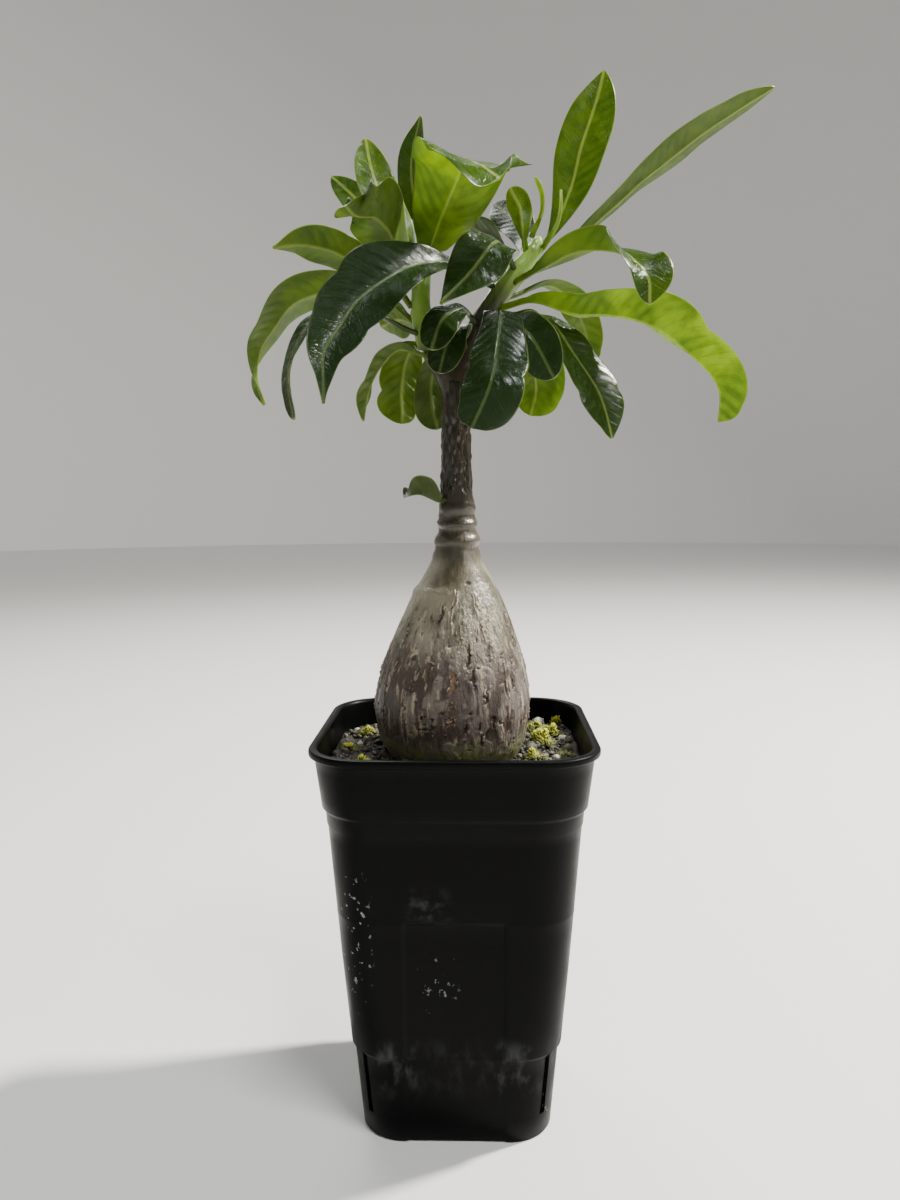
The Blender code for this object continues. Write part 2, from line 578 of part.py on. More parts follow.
def leaf_surface(leaf, steps, side_steps):
    """Points of the leaf's middle surface as a grid: along the midrib by across the blade.

    The blade's half width follows the outline, cut by rounded lobes; its halves rise from the
    midrib by fold, its margins by curl, and a sine wave runs along them.
    """
    places, tangents = smooth_path([leaf_base(leaf)] + list(leaf.points), steps)
    s = np.linspace(0.0, 1.0, steps + 1)
    q = np.clip((s - STALK_SHARE) / (1 - STALK_SHARE), 0.0, 1.0)
    facing = math.radians(leaf.facing)
    left = np.array([-math.sin(facing), math.cos(facing), 0.0])
    side = left - tangents * (tangents @ left)[:, None]
    side /= np.linalg.norm(side, axis=1)[:, None]
    up = np.cross(tangents, side)
    turn = np.radians(leaf.roll + leaf.twist * s**3)[:, None]
    side, up = side * np.cos(turn) + up * np.sin(turn), up * np.cos(turn) - side * np.sin(turn)

    v = np.linspace(-1.0, 1.0, 2 * side_steps + 1)[None, :]
    share = outline_share(q, leaf.taper)[:, None]
    ramp = np.clip(LOBE_GROWTH * (q - LOBE_START), 0.0, 1.0)[:, None]
    shift = np.where(v < 0, LOBE_SHIFT, 0.0)
    notch = 1 - np.abs(np.sin(math.pi * (leaf.lobes * q[:, None] + shift)))
    notch **= LOBE_SHARPNESS
    lobing = 1 - leaf.depth * ramp * notch if leaf.lobes else np.ones_like(notch)
    base_half = STALK_HALF + (TIP_HALF - STALK_HALF) * s[:, None]
    half = base_half + (leaf.width / 2 - base_half) * share * lobing
    x = half * v
    wave = leaf.wave * share * v**2 * np.sin(2 * math.pi * WAVE_COUNT * s[:, None] + np.sign(v))
    lift = leaf.fold * np.abs(x) + leaf.curl * x**2 / (leaf.width / 2) + wave
    return places[:, None, :] + side[:, None, :] * x[..., None] + up[:, None, :] * lift[..., None]


def build_leaf(name, leaf, parts):
    """A leaf: its middle surface given thickness, most along the midrib."""
    grid = leaf_surface(leaf, LEAF_STEPS, SIDE_STEPS) * MM
    rows, columns, _ = grid.shape
    index = np.arange(rows * columns).reshape(rows, columns)
    quads = np.stack([index[:-1, :-1], index[:-1, 1:], index[1:, 1:], index[1:, :-1]], axis=-1)
    quads = quads.reshape(-1, 4)
    triangles = np.concatenate([quads[:, [0, 1, 2]], quads[:, [0, 2, 3]]])
    mesh = bpy.data.meshes.new(name)
    mesh.from_pydata(grid.reshape(-1, 3).tolist(), [], triangles.tolist())
    obj = new_object(name, mesh, parts, new_material("leaf_green"))

    ridge = obj.vertex_groups.new(name="rib")
    stalk_rows = math.ceil(STALK_SHARE * LEAF_STEPS) + 1
    for row in range(rows):
        for column in range(columns):
            out = abs(column - SIDE_STEPS) / SIDE_STEPS
            weight = 1.0 - out if row >= stalk_rows else 1.0
            ridge.add([int(index[row, column])], weight, "REPLACE")
    shell = obj.modifiers.new("thickness", "SOLIDIFY")
    shell.thickness = RIB_THICKNESS * MM
    shell.offset = 0.0
    shell.vertex_group = "rib"
    shell.thickness_vertex_group = MARGIN_THICKNESS / RIB_THICKNESS
    smooth(mesh, LEAF_SMOOTH)
    return obj


def main():
    """Build the pot, the soil, the trunk and its leaves."""
    clear_scene()
    parts = new_collection(OBJECT_NAME)
    cutters = new_collection("cutters")
    build_pot(parts, cutters)
    build_soil(parts, cutters)
    build_trunk(parts, cutters)
    for name, leaf in LEAVES.items():
        build_leaf(name, leaf, parts)


main()
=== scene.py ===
"""Looks of a potted pachypodium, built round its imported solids.

Sizes are in millimetres and MM turns them into metres. The origin is the middle of the pot's foot,
with +X to the right, +Y to the back and +Z up.
"""

import math
from collections import namedtuple

import bpy
import numpy as np
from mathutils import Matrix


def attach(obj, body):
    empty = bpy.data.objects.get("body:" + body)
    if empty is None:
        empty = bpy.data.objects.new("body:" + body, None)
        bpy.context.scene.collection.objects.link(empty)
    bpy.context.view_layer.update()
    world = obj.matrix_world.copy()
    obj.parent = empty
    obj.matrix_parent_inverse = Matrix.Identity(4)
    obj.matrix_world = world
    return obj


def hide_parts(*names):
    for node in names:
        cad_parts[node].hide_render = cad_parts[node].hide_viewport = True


MM = 0.001
BODY = "root"

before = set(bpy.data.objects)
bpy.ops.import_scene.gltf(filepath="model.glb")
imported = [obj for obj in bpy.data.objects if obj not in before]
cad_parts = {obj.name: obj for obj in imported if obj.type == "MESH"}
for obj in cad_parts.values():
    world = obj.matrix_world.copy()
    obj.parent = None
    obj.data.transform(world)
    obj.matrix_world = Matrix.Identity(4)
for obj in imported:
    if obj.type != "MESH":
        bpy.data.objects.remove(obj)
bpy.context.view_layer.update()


# Camera, light and floor

IMAGE_HEIGHT = 1200.0
FOCAL_PIXELS = 965.7
CAMERA_PLACE = (7.19, -317.4, 205.7)
CAMERA_PITCH = 6.33             # degrees down, and the next two in degrees as well
CAMERA_YAW = -1.61
CAMERA_ROLL = -0.38
SENSOR = 36.0
NEAREST = 0.01                  # metres in front of the camera where the view starts


def stand(item, place, axes):
    """Put an item at a place in metres, with these directions as its right, up and back."""
    matrix = np.eye(4)
    matrix[:3, :3] = np.transpose(axes)
    matrix[:3, 3] = place
    item.matrix_world = matrix.T.tolist()
    bpy.context.scene.collection.objects.link(item)


def place_camera():
    """The camera at the photo's viewing angle."""
    yaw, pitch, roll = np.radians([CAMERA_YAW, CAMERA_PITCH, CAMERA_ROLL])
    ahead = np.array([np.sin(yaw) * np.cos(pitch), np.cos(yaw) * np.cos(pitch), -np.sin(pitch)])
    right = np.array([np.cos(yaw), -np.sin(yaw), 0.0])
    up = np.cross(right, ahead)
    right, up = np.cos(roll) * right + np.sin(roll) * up, np.cos(roll) * up - np.sin(roll) * right
    data = bpy.data.cameras.new("camera")
    data.sensor_width = SENSOR
    data.lens = SENSOR * FOCAL_PIXELS / IMAGE_HEIGHT
    data.clip_start = NEAREST
    camera = bpy.data.objects.new("camera", data)
    stand(camera, np.array(CAMERA_PLACE) * MM, (right, up, -ahead))
    bpy.context.scene.camera = camera


# Name: where it stands and what it points at in metres, its width, power and colour
LIGHTS = {
    "sun_side": ((1.15, 0.40, 1.35), (0.0, 0.0, 0.22), 0.18, 115.0, (1.0, 0.96, 0.88)),
    "top_window": ((0.26, -0.50, 1.45), (0.0, 0.0, 0.24), 0.34, 18.0, (0.98, 0.99, 1.0)),
    "sky_back": ((-0.30, 0.95, 1.15), (0.0, 0.0, 0.25), 0.8, 13.0, (0.98, 0.99, 0.96)),
    "gloss_box": ((0.95, -0.62, 0.85), (0.0, 0.0, 0.22), 0.3, 4.0, (1.0, 0.98, 0.95)),
}
FLOOR_HALF = 4.0
STAGE_COLOUR = (0.60, 0.597, 0.585)
STAGE_GLOW = (1.0, 0.995, 0.98)
SKY_COLOUR = (0.72, 0.72, 0.72, 1.0)
SKY_STRENGTH = 0.06
BACKDROP_RADIUS = 3.7
BACKDROP_HEIGHT = 3.0
BACKDROP_SIDES = 72
BACKDROP_GLOW = 0.14
FLOOR_FADE = (0.9, 3.4)         # the floor takes on the wall's glow between these distances


def place_lights():
    """Soft lamps: a warm one high on the right, and weaker ones above, behind and in front."""
    for name, (place, aim, width, power, colour) in LIGHTS.items():
        data = bpy.data.lights.new(name, "AREA")
        data.shape = "DISK"
        data.size = width
        data.energy = power
        data.color = colour
        towards = np.array(aim) - np.array(place)
        back = -towards / np.linalg.norm(towards)
        side = np.cross([0.0, 0.0, 1.0], back)
        side /= np.linalg.norm(side)
        stand(bpy.data.objects.new(name, data), place, (side, np.cross(back, side), back))
    world = bpy.data.worlds.new("studio")
    world.use_nodes = True
    background = world.node_tree.nodes["Background"]
    background.inputs["Color"].default_value = SKY_COLOUR
    background.inputs["Strength"].default_value = SKY_STRENGTH
    bpy.context.scene.world = world


# Material nodes

class Finish:
    """A node material with short ways to add its nodes."""

    def __init__(self, name):
        self.material = bpy.data.materials.new(name)
        self.material.use_nodes = True
        self.nodes = self.material.node_tree.nodes
        self.links = self.material.node_tree.links
        self.shader = self.nodes["Principled BSDF"]
        self.output = self.nodes["Material Output"]
        self.place = self.add("ShaderNodeTexCoord").outputs["Object"]

    def add(self, kind, inputs=(), **settings):
        """Add a node, set its settings and fill its sockets with values or links."""
        node = self.nodes.new(kind)
        for key, value in settings.items():
            setattr(node, key, value)
        for key, value in dict(inputs).items():
            self.feed(node.inputs[key], value)
        return node

    def feed(self, socket, value):
        """Link a socket to another one, or set its value."""
        if isinstance(value, bpy.types.NodeSocket):
            self.links.new(value, socket)
        elif isinstance(value, (tuple, list)) and len(value) == 3 and socket.type == "RGBA":
            socket.default_value = (*value, 1.0)
        else:
            socket.default_value = value

    def math(self, operation, first, second=0.0, third=0.0):
        """One sum on up to three values."""
        node = self.add("ShaderNodeMath", {0: first, 1: second, 2: third}, operation=operation)
        return node.outputs[0]

    def chain(self, operation, values):
        """One operation carried on over two or more values."""
        result = values[0]
        for value in values[1:]:
            result = self.math(operation, result, value)
        return result

    def times(self, *values):
        """The product of values."""
        return self.chain("MULTIPLY", values)

    def plus(self, *values):
        """The sum of values."""
        return self.chain("ADD", values)

    def most(self, *values):
        """The largest of values."""
        return self.chain("MAXIMUM", values)

    def level(self, value, gain, shift):
        """A value times a gain, plus a shift."""
        return self.math("MULTIPLY_ADD", value, gain, shift)

    def blend(self, share, first, second):
        """Two colours mixed by a share from 0 to 1."""
        node = self.add("ShaderNodeMix", data_type="RGBA")
        self.feed(node.inputs[0], share)
        self.feed(node.inputs[6], first)
        self.feed(node.inputs[7], second)
        return node.outputs[2]

    def coat(self, colour, paint, share, thick=None):
        """A colour under a paint that covers it by a share, times how thick the paint is."""
        return self.blend(share if thick is None else self.times(share, thick), colour, paint)

    def step(self, value, low, high, first=0.0, last=1.0):
        """A smooth step from first to last while a value goes from low to high."""
        node = self.add("ShaderNodeMapRange", {0: value, 1: low, 2: high, 3: first, 4: last},
                        interpolation_type="SMOOTHSTEP")
        return node.outputs[0]

    def stretch(self, share):
        """Coordinates squeezed to a share along the height, which draws a pattern out along it."""
        inputs = {"Vector": self.place, "Scale": (1.0, 1.0, share)}
        return self.add("ShaderNodeMapping", inputs).outputs[0]

    def axes(self):
        """The place along X, Y and Z."""
        return self.add("ShaderNodeSeparateXYZ", {0: self.place}).outputs

    def noise(self, scale, detail=3.0, vector=None, roughness=0.5):
        """Cloudy noise from 0 to 1, with a scale in cycles a metre."""
        inputs = {"Vector": vector or self.place, "Scale": scale, "Detail": detail,
                  "Roughness": roughness}
        return self.add("ShaderNodeTexNoise", inputs).outputs[0]

    def net(self, scale, vector):
        """Distance to the edge between scattered cells."""
        inputs = {"Vector": vector, "Scale": scale}
        node = self.add("ShaderNodeTexVoronoi", inputs, feature="DISTANCE_TO_EDGE")
        return node.outputs[0]

    def attributes(self, names):
        """Numbers that the mesh carries at each of its points, by their names."""
        return [self.add("ShaderNodeAttribute", attribute_name=name).outputs["Fac"]
                for name in names.split()]

    def bump(self, height, distance, strength=1.0):
        """Relief on the shader's normal, with a height of 1 standing for distance in metres."""
        inputs = {"Height": height, "Distance": distance, "Strength": strength}
        node = self.add("ShaderNodeBump", inputs)
        self.feed(self.shader.inputs["Normal"], node.outputs[0])
        return node.outputs[0]

    def surface(self, **inputs):
        """Fill sockets of the Principled shader, with underscores for spaces."""
        for key, value in inputs.items():
            self.feed(self.shader.inputs[key.replace("_", " ")], value)
        return self.material


# Paints of the blade, from dark old leaves to bright young ones, which also stand for painted shade
# on shaded leaves and painted light on lit ones, then of the light through it
LEAF_TOP = (0.008, 0.022, 0.004), (0.032, 0.080, 0.003)
LEAF_UNDER = (0.034, 0.050, 0.010), (0.100, 0.185, 0.008)
LEAF_MOTTLE = (0.004, 0.013, 0.002)
VEIN = (0.050, 0.082, 0.026), (0.400, 0.500, 0.080)
# Painted rim light: a pale margin that stands for light glowing through the blade's edge
RIM_LIGHT = (0.420, 0.520, 0.110)
GLOW = (0.050, 0.095, 0.006), (0.500, 0.640, 0.008)
GLOW_SHADE = (0.110, 0.210, 0.003)


def leaf_finish():
    """Glossy green blade that lets light through, with a pale midrib, faint side veins and a paler
    rim that is painted rim light; its tone paints it darker where shaded and brighter where lit.
    """
    f = Finish("leaf_green")
    tone, under, rib, rim, phase, fade = f.attributes("tone under rib rim phase fade")
    blade = f.add("ShaderNodeUVMap", uv_map="blade").outputs[0]

    turning = f.plus(phase, f.times(f.noise(9.0, 2.0, blade), 0.35))
    near = f.math("PINGPONG", turning, 0.5)
    fine_near = f.math("PINGPONG", f.times(turning, 3.0), 0.5)
    side_vein = f.times(f.step(near, 0.035, 0.0), fade)
    fine_vein = f.times(f.step(fine_near, 0.12, 0.0), fade)
    pillow = f.times(f.step(near, 0.08, 0.40), fade)
    net = f.step(f.net(110.0, blade), 0.0, 0.07, 1.0, 0.0)
    midrib = f.step(rib, 0.25, 0.70, 1.0, 0.0)
    edge = f.step(rim, 0.10, 0.32, 1.0, 0.0)
    mottle = f.noise(26.0, 3.0, blade)

    # Painted shade and light: the tone picks darker paints for shaded leaves and brighter ones for
    # lit leaves, on both sides of the blade
    colour = f.blend(under, f.blend(tone, *LEAF_TOP), f.blend(tone, *LEAF_UNDER))
    colour = f.coat(colour, LEAF_MOTTLE, f.step(mottle, 0.35, 0.7, 0.0, 0.35))
    vein = f.blend(tone, *VEIN)
    strong = f.level(tone, 0.28, 0.10)
    fine = f.times(f.most(fine_vein, net), f.times(strong, 0.35))
    colour = f.coat(colour, vein, f.most(f.times(side_vein, strong), fine))
    colour = f.coat(colour, vein, midrib, 0.80)
    # Painted rim light at the edge, stronger on brightly lit leaves
    colour = f.coat(colour, RIM_LIGHT, edge, f.level(tone, 0.45, 0.15))

    broad = f.step(f.noise(7.0, 2.0, blade), 0.35, 0.65)
    patch = f.times(broad, f.level(pillow, -0.5, 1.0))
    glow = f.coat(f.blend(tone, *GLOW), GLOW_SHADE, patch, 0.75)
    glow = f.coat(glow, GLOW_SHADE, f.step(mottle, 0.4, 0.75, 0.0, 0.4))
    glow = f.coat(glow, VEIN[1], side_vein, 0.35)
    # Painted rim light in the light through the blade as well
    glow = f.coat(glow, RIM_LIGHT, edge, 0.6)

    # Veins stand out underneath and are sunk on top
    relief = f.times(f.most(side_vein, midrib), f.math("SUBTRACT", f.times(under, 1.5), 0.6))
    relief = f.plus(relief, f.times(f.noise(50.0, 2.0, blade), 0.40))
    relief = f.math("SUBTRACT", relief, f.times(f.most(net, fine_vein), 0.14))
    normal = f.bump(relief, 0.00020, 0.8)

    gloss = f.plus(f.step(f.noise(30.0, 2.0, blade), 0.3, 0.7, 0.16, 0.30), f.times(under, 0.16))
    f.surface(Base_Color=colour, Roughness=gloss, Specular_IOR_Level=0.28)
    through = f.add("ShaderNodeBsdfTranslucent", {"Color": glow, "Normal": normal})
    mix = f.add("ShaderNodeMixShader", {0: f.level(tone, 0.38, 0.16)})
    f.links.new(f.shader.outputs[0], mix.inputs[1])
    f.links.new(through.outputs[0], mix.inputs[2])
    f.links.new(mix.outputs[0], f.output.inputs["Surface"])
    return f.material


SMOOTH_BARK = (0.072, 0.064, 0.040), (0.220, 0.204, 0.150)
ROUGH_BARK = (0.026, 0.014, 0.009), (0.112, 0.094, 0.080)
BARK_PATCH = (0.060, 0.042, 0.032)
BARK_FOOT = (0.150, 0.138, 0.128)
PALE_STREAK = (0.300, 0.250, 0.165)
DARK_STREAK = (0.020, 0.012, 0.008)
RAGGED_EDGE = (0.290, 0.225, 0.160)
ORANGE_SEAM = (0.150, 0.078, 0.040)
CRACK_SHADE = (0.018, 0.012, 0.010)
DUSKY_STEM = (0.013, 0.009, 0.005)
ALGAE = (0.130, 0.150, 0.030)
YOUNG_SHOOT = (0.120, 0.220, 0.025), (0.210, 0.340, 0.050)


def bark_finish():
    """Bark: smooth olive grey above, brown and lavender plates with pale ragged seams below."""
    f = Finish("bark")
    height = f.axes()[2]
    crack, strip, lip, plate, young, dusk, algae = f.attributes(
        "crack strip lip plate young dusk algae")
    long = f.stretch(0.20)
    streak = f.noise(520.0, 5.0, long, 0.62)
    patch = f.noise(75.0, 3.0, f.stretch(0.6))
    crumb = f.noise(1300.0, 3.0, f.stretch(0.6), 0.6)
    fleck = f.noise(420.0, 3.0, f.stretch(0.35))
    low = f.step(height, 0.166, 0.148)
    foot = f.step(height, 0.133, 0.122)
    calm = f.level(f.step(height, 0.178, 0.164), 0.75, 0.25)

    mixed = f.level(plate, 0.25, f.noise(130.0, 5.0, f.stretch(0.55), 0.6))
    rough_bark = f.blend(f.step(mixed, 0.44, 0.78), *ROUGH_BARK)
    rough_bark = f.coat(rough_bark, BARK_PATCH, f.step(patch, 0.40, 0.70, 0.0, 0.5))
    colour = f.coat(f.blend(f.step(patch, 0.35, 0.65), *SMOOTH_BARK), rough_bark, low)
    colour = f.coat(colour, BARK_FOOT, foot, 0.75)
    colour = f.coat(colour, PALE_STREAK, f.step(streak, 0.55, 0.67, 0.0, 0.75), calm)
    colour = f.coat(colour, DARK_STREAK, f.step(streak, 0.47, 0.34, 0.0, 0.85), calm)
    ragged = f.step(f.plus(lip, f.times(crumb, 0.8)), 0.76, 1.05)
    colour = f.coat(colour, RAGGED_EDGE, ragged, 0.65)
    orange = f.step(f.plus(strip, f.times(fleck, 0.9)), 0.86, 1.25)
    colour = f.coat(colour, ORANGE_SEAM, orange, 0.7)
    # Darker bark with painted shade in the sunk seams, pits, eyes and plate edges
    dark = f.step(f.plus(crack, f.times(crumb, 0.5)), 0.62, 0.95)
    colour = f.coat(colour, CRACK_SHADE, dark, 0.9)
    colour = f.coat(colour, DUSKY_STEM, dusk)
    colour = f.coat(colour, ALGAE, algae, f.step(crumb, 0.30, 0.6))
    colour = f.coat(colour, f.blend(f.step(patch, 0.4, 0.65), *YOUNG_SHOOT), young)
    relief = f.plus(f.times(streak, 0.9), f.times(crumb, 0.45), f.times(ragged, 0.5))
    relief = f.math("SUBTRACT", relief, f.times(dark, 0.6))
    f.bump(f.times(relief, calm), 0.0009, 0.9)
    rough = f.plus(f.step(f.noise(200.0, 2.0, long), 0.35, 0.7, 0.24, 0.36), f.times(low, 0.17))
    rough = f.level(dusk, -0.08, rough)
    return f.surface(Base_Color=colour, Roughness=rough, Specular_IOR_Level=0.42)


POT_BLACK = (0.0012, 0.0014, 0.0014), (0.0040, 0.0044, 0.0042)
LIME = (0.120, 0.125, 0.125)
SPLASH = (0.30, 0.31, 0.33)
SMUDGE = (0.20, 0.21, 0.21)
# Groups of splashes on the front: middle along X and Z, half width and height, and their share
SPLASHES = ((-0.031, 0.070, 0.0060, 0.023, 1.0), (-0.005, 0.056, 0.0065, 0.011, 0.45))


def pot_finish():
    """Near-black moulded plastic with a soft sheen, dust and white lime marks low down."""
    f = Finish("pot_plastic")
    x, y, height = f.axes()
    cloud = f.noise(60.0, 4.0)
    fine = f.noise(900.0, 3.0)
    colour = f.blend(f.times(f.step(cloud, 0.48, 0.78), 0.30), *POT_BLACK)

    # A band of lime low down beside the panels
    aside = f.math("MINIMUM", f.math("ABSOLUTE", x), f.math("ABSOLUTE", y))
    drip = f.noise(190.0, 4.0, f.stretch(0.5), 0.6)
    lime = f.times(f.step(height, 0.012, 0.027), f.step(height, 0.038, 0.030),
                   f.step(aside, 0.0105, 0.0140, 0.25, 1.0), f.step(drip, 0.44, 0.70))

    # Splashes low on the left of the front and on its panel, and scattered ones on the other sides
    splash = f.noise(560.0, 4.0, f.stretch(0.8), 0.6)
    places = f.times(f.step(f.noise(38.0, 2.0), 0.60, 0.66), f.step(y, -0.030, -0.026),
                     f.step(height, 0.095, 0.080))
    for middle_x, middle_z, wide, tall, share in SPLASHES:
        off_x = f.math("DIVIDE", f.math("SUBTRACT", x, middle_x), wide)
        off_z = f.math("DIVIDE", f.math("SUBTRACT", height, middle_z), tall)
        off = f.plus(f.times(off_x, off_x), f.times(off_z, off_z))
        window = f.times(f.step(off, 1.6, 0.0, 0.0, share), f.step(y, -0.020, -0.024))
        places = f.most(places, window)
    spots = f.times(f.step(splash, 0.635, 0.67), places)
    smudge = f.times(f.step(f.noise(260.0, 5.0), 0.45, 0.70), f.step(height, 0.074, 0.079),
                     f.step(height, 0.090, 0.081),
                     f.step(f.math("ABSOLUTE", f.plus(x, 0.008)), 0.009, 0.002))
    for paint, share, thick in ((LIME, lime, 0.30), (SPLASH, spots, 0.8), (SMUDGE, smudge, 0.10)):
        colour = f.coat(colour, paint, share, thick)
    f.bump(f.plus(fine, f.times(lime, 0.8)), 0.00006, 0.6)
    rough = f.plus(f.step(cloud, 0.3, 0.7, 0.30, 0.42), f.times(lime, 0.4))
    return f.surface(Base_Color=colour, Roughness=rough, Specular_IOR_Level=0.05)


SOIL = (0.004, 0.003, 0.002), (0.026, 0.018, 0.010)
STONE_STAIN = (0.05, 0.04, 0.03)
# Moss paints: dark with painted shade at the foot of a cushion, pale yellow-green at its top
MOSS = (0.016, 0.024, 0.002), (0.430, 0.440, 0.022)


def soil_finish():
    """Dark crumbly potting soil."""
    f = Finish("soil_mix")
    clod = f.noise(500.0, 5.0, roughness=0.7)
    colour = f.blend(f.step(clod, 0.35, 0.7), *SOIL)
    f.bump(clod, 0.0012, 0.9)
    return f.surface(Base_Color=colour, Roughness=0.92)


def grit_finish(name, dark, pale):
    """Small stones, each between two colours by the shade that its points carry."""
    f = Finish(name)
    grain = f.noise(1600.0, 3.0)
    colour = f.blend(f.attributes("shade")[0], dark, pale)
    colour = f.coat(colour, STONE_STAIN, f.step(grain, 0.4, 0.7, 0.0, 0.4))
    f.bump(grain, 0.0003, 0.6)
    return f.surface(Base_Color=colour, Roughness=0.72)


def moss_finish():
    """Yellow-green moss leaflets, with painted shade that darkens them low in each cushion and at
    each leaflet's base, so they are paler at their tips.
    """
    f = Finish("moss")
    return f.surface(Base_Color=f.blend(f.attributes("shade")[0], *MOSS), Roughness=0.7)


def stage_finish(name, roughness, fades):
    """Plain pale finish with a soft glow, which may fade in far from the pot."""
    f = Finish(name)
    glow = BACKDROP_GLOW
    if fades:
        reach = f.add("ShaderNodeVectorMath", {0: f.place}, operation="LENGTH").outputs["Value"]
        glow = f.step(reach, *FLOOR_FADE, 0.0, BACKDROP_GLOW)
    return f.surface(Base_Color=STAGE_COLOUR, Roughness=roughness, Emission_Color=STAGE_GLOW,
                     Emission_Strength=glow)


# Noise and meshes

STIR = (374761393, 668265263, 2147483647, 974634777, 1274126177)   # large odd numbers


def lattice(cells, seed):
    """A fixed random number from -1 to 1 for each whole-number cell."""
    c = cells.astype(np.int64)
    mixed = c[..., 0] * STIR[0] + c[..., 1] * STIR[1] + c[..., 2] * STIR[2] + seed * STIR[3]
    mixed = (mixed ^ (mixed >> 13)) * STIR[4]
    mixed = (mixed ^ (mixed >> 16)) & 0xFFFFFF
    return mixed / 0x7FFFFF - 1.0


def value_noise(points, seed):
    """Smooth noise from -1 to 1: random corner values of unit cells, blended by a cubic step."""
    floor = np.floor(points)
    part = points - floor
    part = part * part * (3 - 2 * part)
    total = np.zeros(points.shape[:-1])
    for corner in np.ndindex(2, 2, 2):
        corner = np.array(corner)
        weight = np.prod(np.where(corner, part, 1 - part), axis=-1)
        total += weight * lattice(floor + corner, seed)
    return total


def fractal(points, seed, octaves=3):
    """Layers of smooth noise, each twice as fine and half as strong as the one before."""
    total = np.zeros(points.shape[:-1])
    for octave in range(octaves):
        total += value_noise(points * 2.0**octave, seed + octave) / 2.0**octave
    return total


def smooth_step(value, low, high):
    """0 below low and 1 above high, with a cubic step between."""
    t = np.clip((value - low) / (high - low), 0.0, 1.0)
    return t * t * (3 - 2 * t)


def wear(piece, material, node=None):
    """Give a piece its material, the body it rides on and the node it stands for."""
    piece.data.materials.append(material)
    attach(piece, BODY)
    if node:
        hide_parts(node)
    return piece


def make_piece(name, points, faces, numbers=(), uv=None):
    """An object from points in millimetres, faces of equal or mixed size and numbers per point."""
    mesh = bpy.data.meshes.new(name)
    mesh.from_pydata((points * MM).tolist(), [], faces)
    for key, values in dict(numbers).items():
        layer = mesh.attributes.new(key, "FLOAT", "POINT")
        layer.data.foreach_set("value", np.asarray(values, np.float32).ravel())
    if uv is not None:
        corners = np.empty(len(mesh.loops), np.int32)
        mesh.loops.foreach_get("vertex_index", corners)
        mesh.uv_layers.new(name="blade").data.foreach_set("uv", uv[corners].ravel())
    mesh.shade_smooth()
    mesh.validate()
    piece = bpy.data.objects.new(name, mesh)
    bpy.context.scene.collection.objects.link(piece)
    return piece


def skin_faces(rows, columns, start=0):
    """Faces over rows of points that close round, with a fan to a pole at each end.

    The poles are the two points after the grid, first end then last end.
    """
    index = np.arange(rows * columns).reshape(rows, columns) + start
    after = np.roll(index, -1, axis=1)
    quads = np.stack([index[:-1], after[:-1], after[1:], index[1:]], axis=-1).reshape(-1, 4)
    first, last = start + rows * columns, start + rows * columns + 1
    foot = np.stack([after[0], index[0], np.full(columns, first)], axis=-1)
    head = np.stack([index[-1], after[-1], np.full(columns, last)], axis=-1)
    return quads.tolist() + foot.tolist() + head.tolist()


def with_poles(grid):
    """The grid's values as one list, with the mean of its first and last row added."""
    grid = np.asarray(grid, float)
    flat = grid.reshape(-1, *grid.shape[2:])
    return np.concatenate([flat, grid[:1].mean(axis=1), grid[-1:].mean(axis=1)])


def volume(points, faces):
    """Signed volume inside the faces, by fans from each face's first point."""
    total = 0.0
    for size in (3, 4):
        chosen = np.array([face for face in faces if len(face) == size])
        if len(chosen):
            corners = points[chosen]
            for k in range(1, size - 1):
                normal = np.cross(corners[:, k], corners[:, k + 1])
                total += (corners[:, 0] * normal).sum() / 6
    return total


def skin(name, grid, numbers=(), uv=None):
    """A closed body over rows of points that close round, its faces turned outwards."""
    rows, columns = grid.shape[:2]
    points = with_poles(grid)
    faces = skin_faces(rows, columns)
    if volume(points, faces) < 0:
        faces = [face[::-1] for face in faces]
    numbers = {key: with_poles(values) for key, values in dict(numbers).items()}
    return make_piece(name, points, faces, numbers, None if uv is None else with_poles(uv))


def hermite(knots, values, at):
    """Values, or rows of them, on a smooth cubic curve through rising knots."""
    slopes = np.gradient(values, knots, axis=0)
    index = np.clip(np.searchsorted(knots, at, side="right") - 1, 0, len(knots) - 2)
    span = knots[index + 1] - knots[index]
    t = (at - knots[index]) / span
    if values.ndim == 2:
        span, t = span[:, None], t[:, None]
    return ((2 * t**3 - 3 * t**2 + 1) * values[index] + (t**3 - 2 * t**2 + t) * span * slopes[index]
            + (3 * t**2 - 2 * t**3) * values[index + 1] + (t**3 - t**2) * span * slopes[index + 1])


def reach_along(points):
    """The distance along a path to each of its points."""
    steps = np.linalg.norm(np.diff(points, axis=0), axis=1)
    return np.concatenate([[0.0], np.cumsum(steps)])


def unit(rows):
    """Rows of vectors made one long."""
    return rows / np.linalg.norm(rows, axis=1)[:, None]


def smooth_path(points, count):
    """Evenly spaced places on a smooth curve through points, with its unit tangents."""
    points = np.asarray(points, float)
    knots = reach_along(points)
    path = hermite(knots, points, np.linspace(0.0, knots[-1], 40 * len(points)))
    length = reach_along(path)
    even = np.linspace(0.0, length[-1], count + 1)
    places = np.stack([np.interp(even, length, path[:, k]) for k in range(3)], axis=1)
    return places, unit(np.gradient(places, axis=0))


# Pot

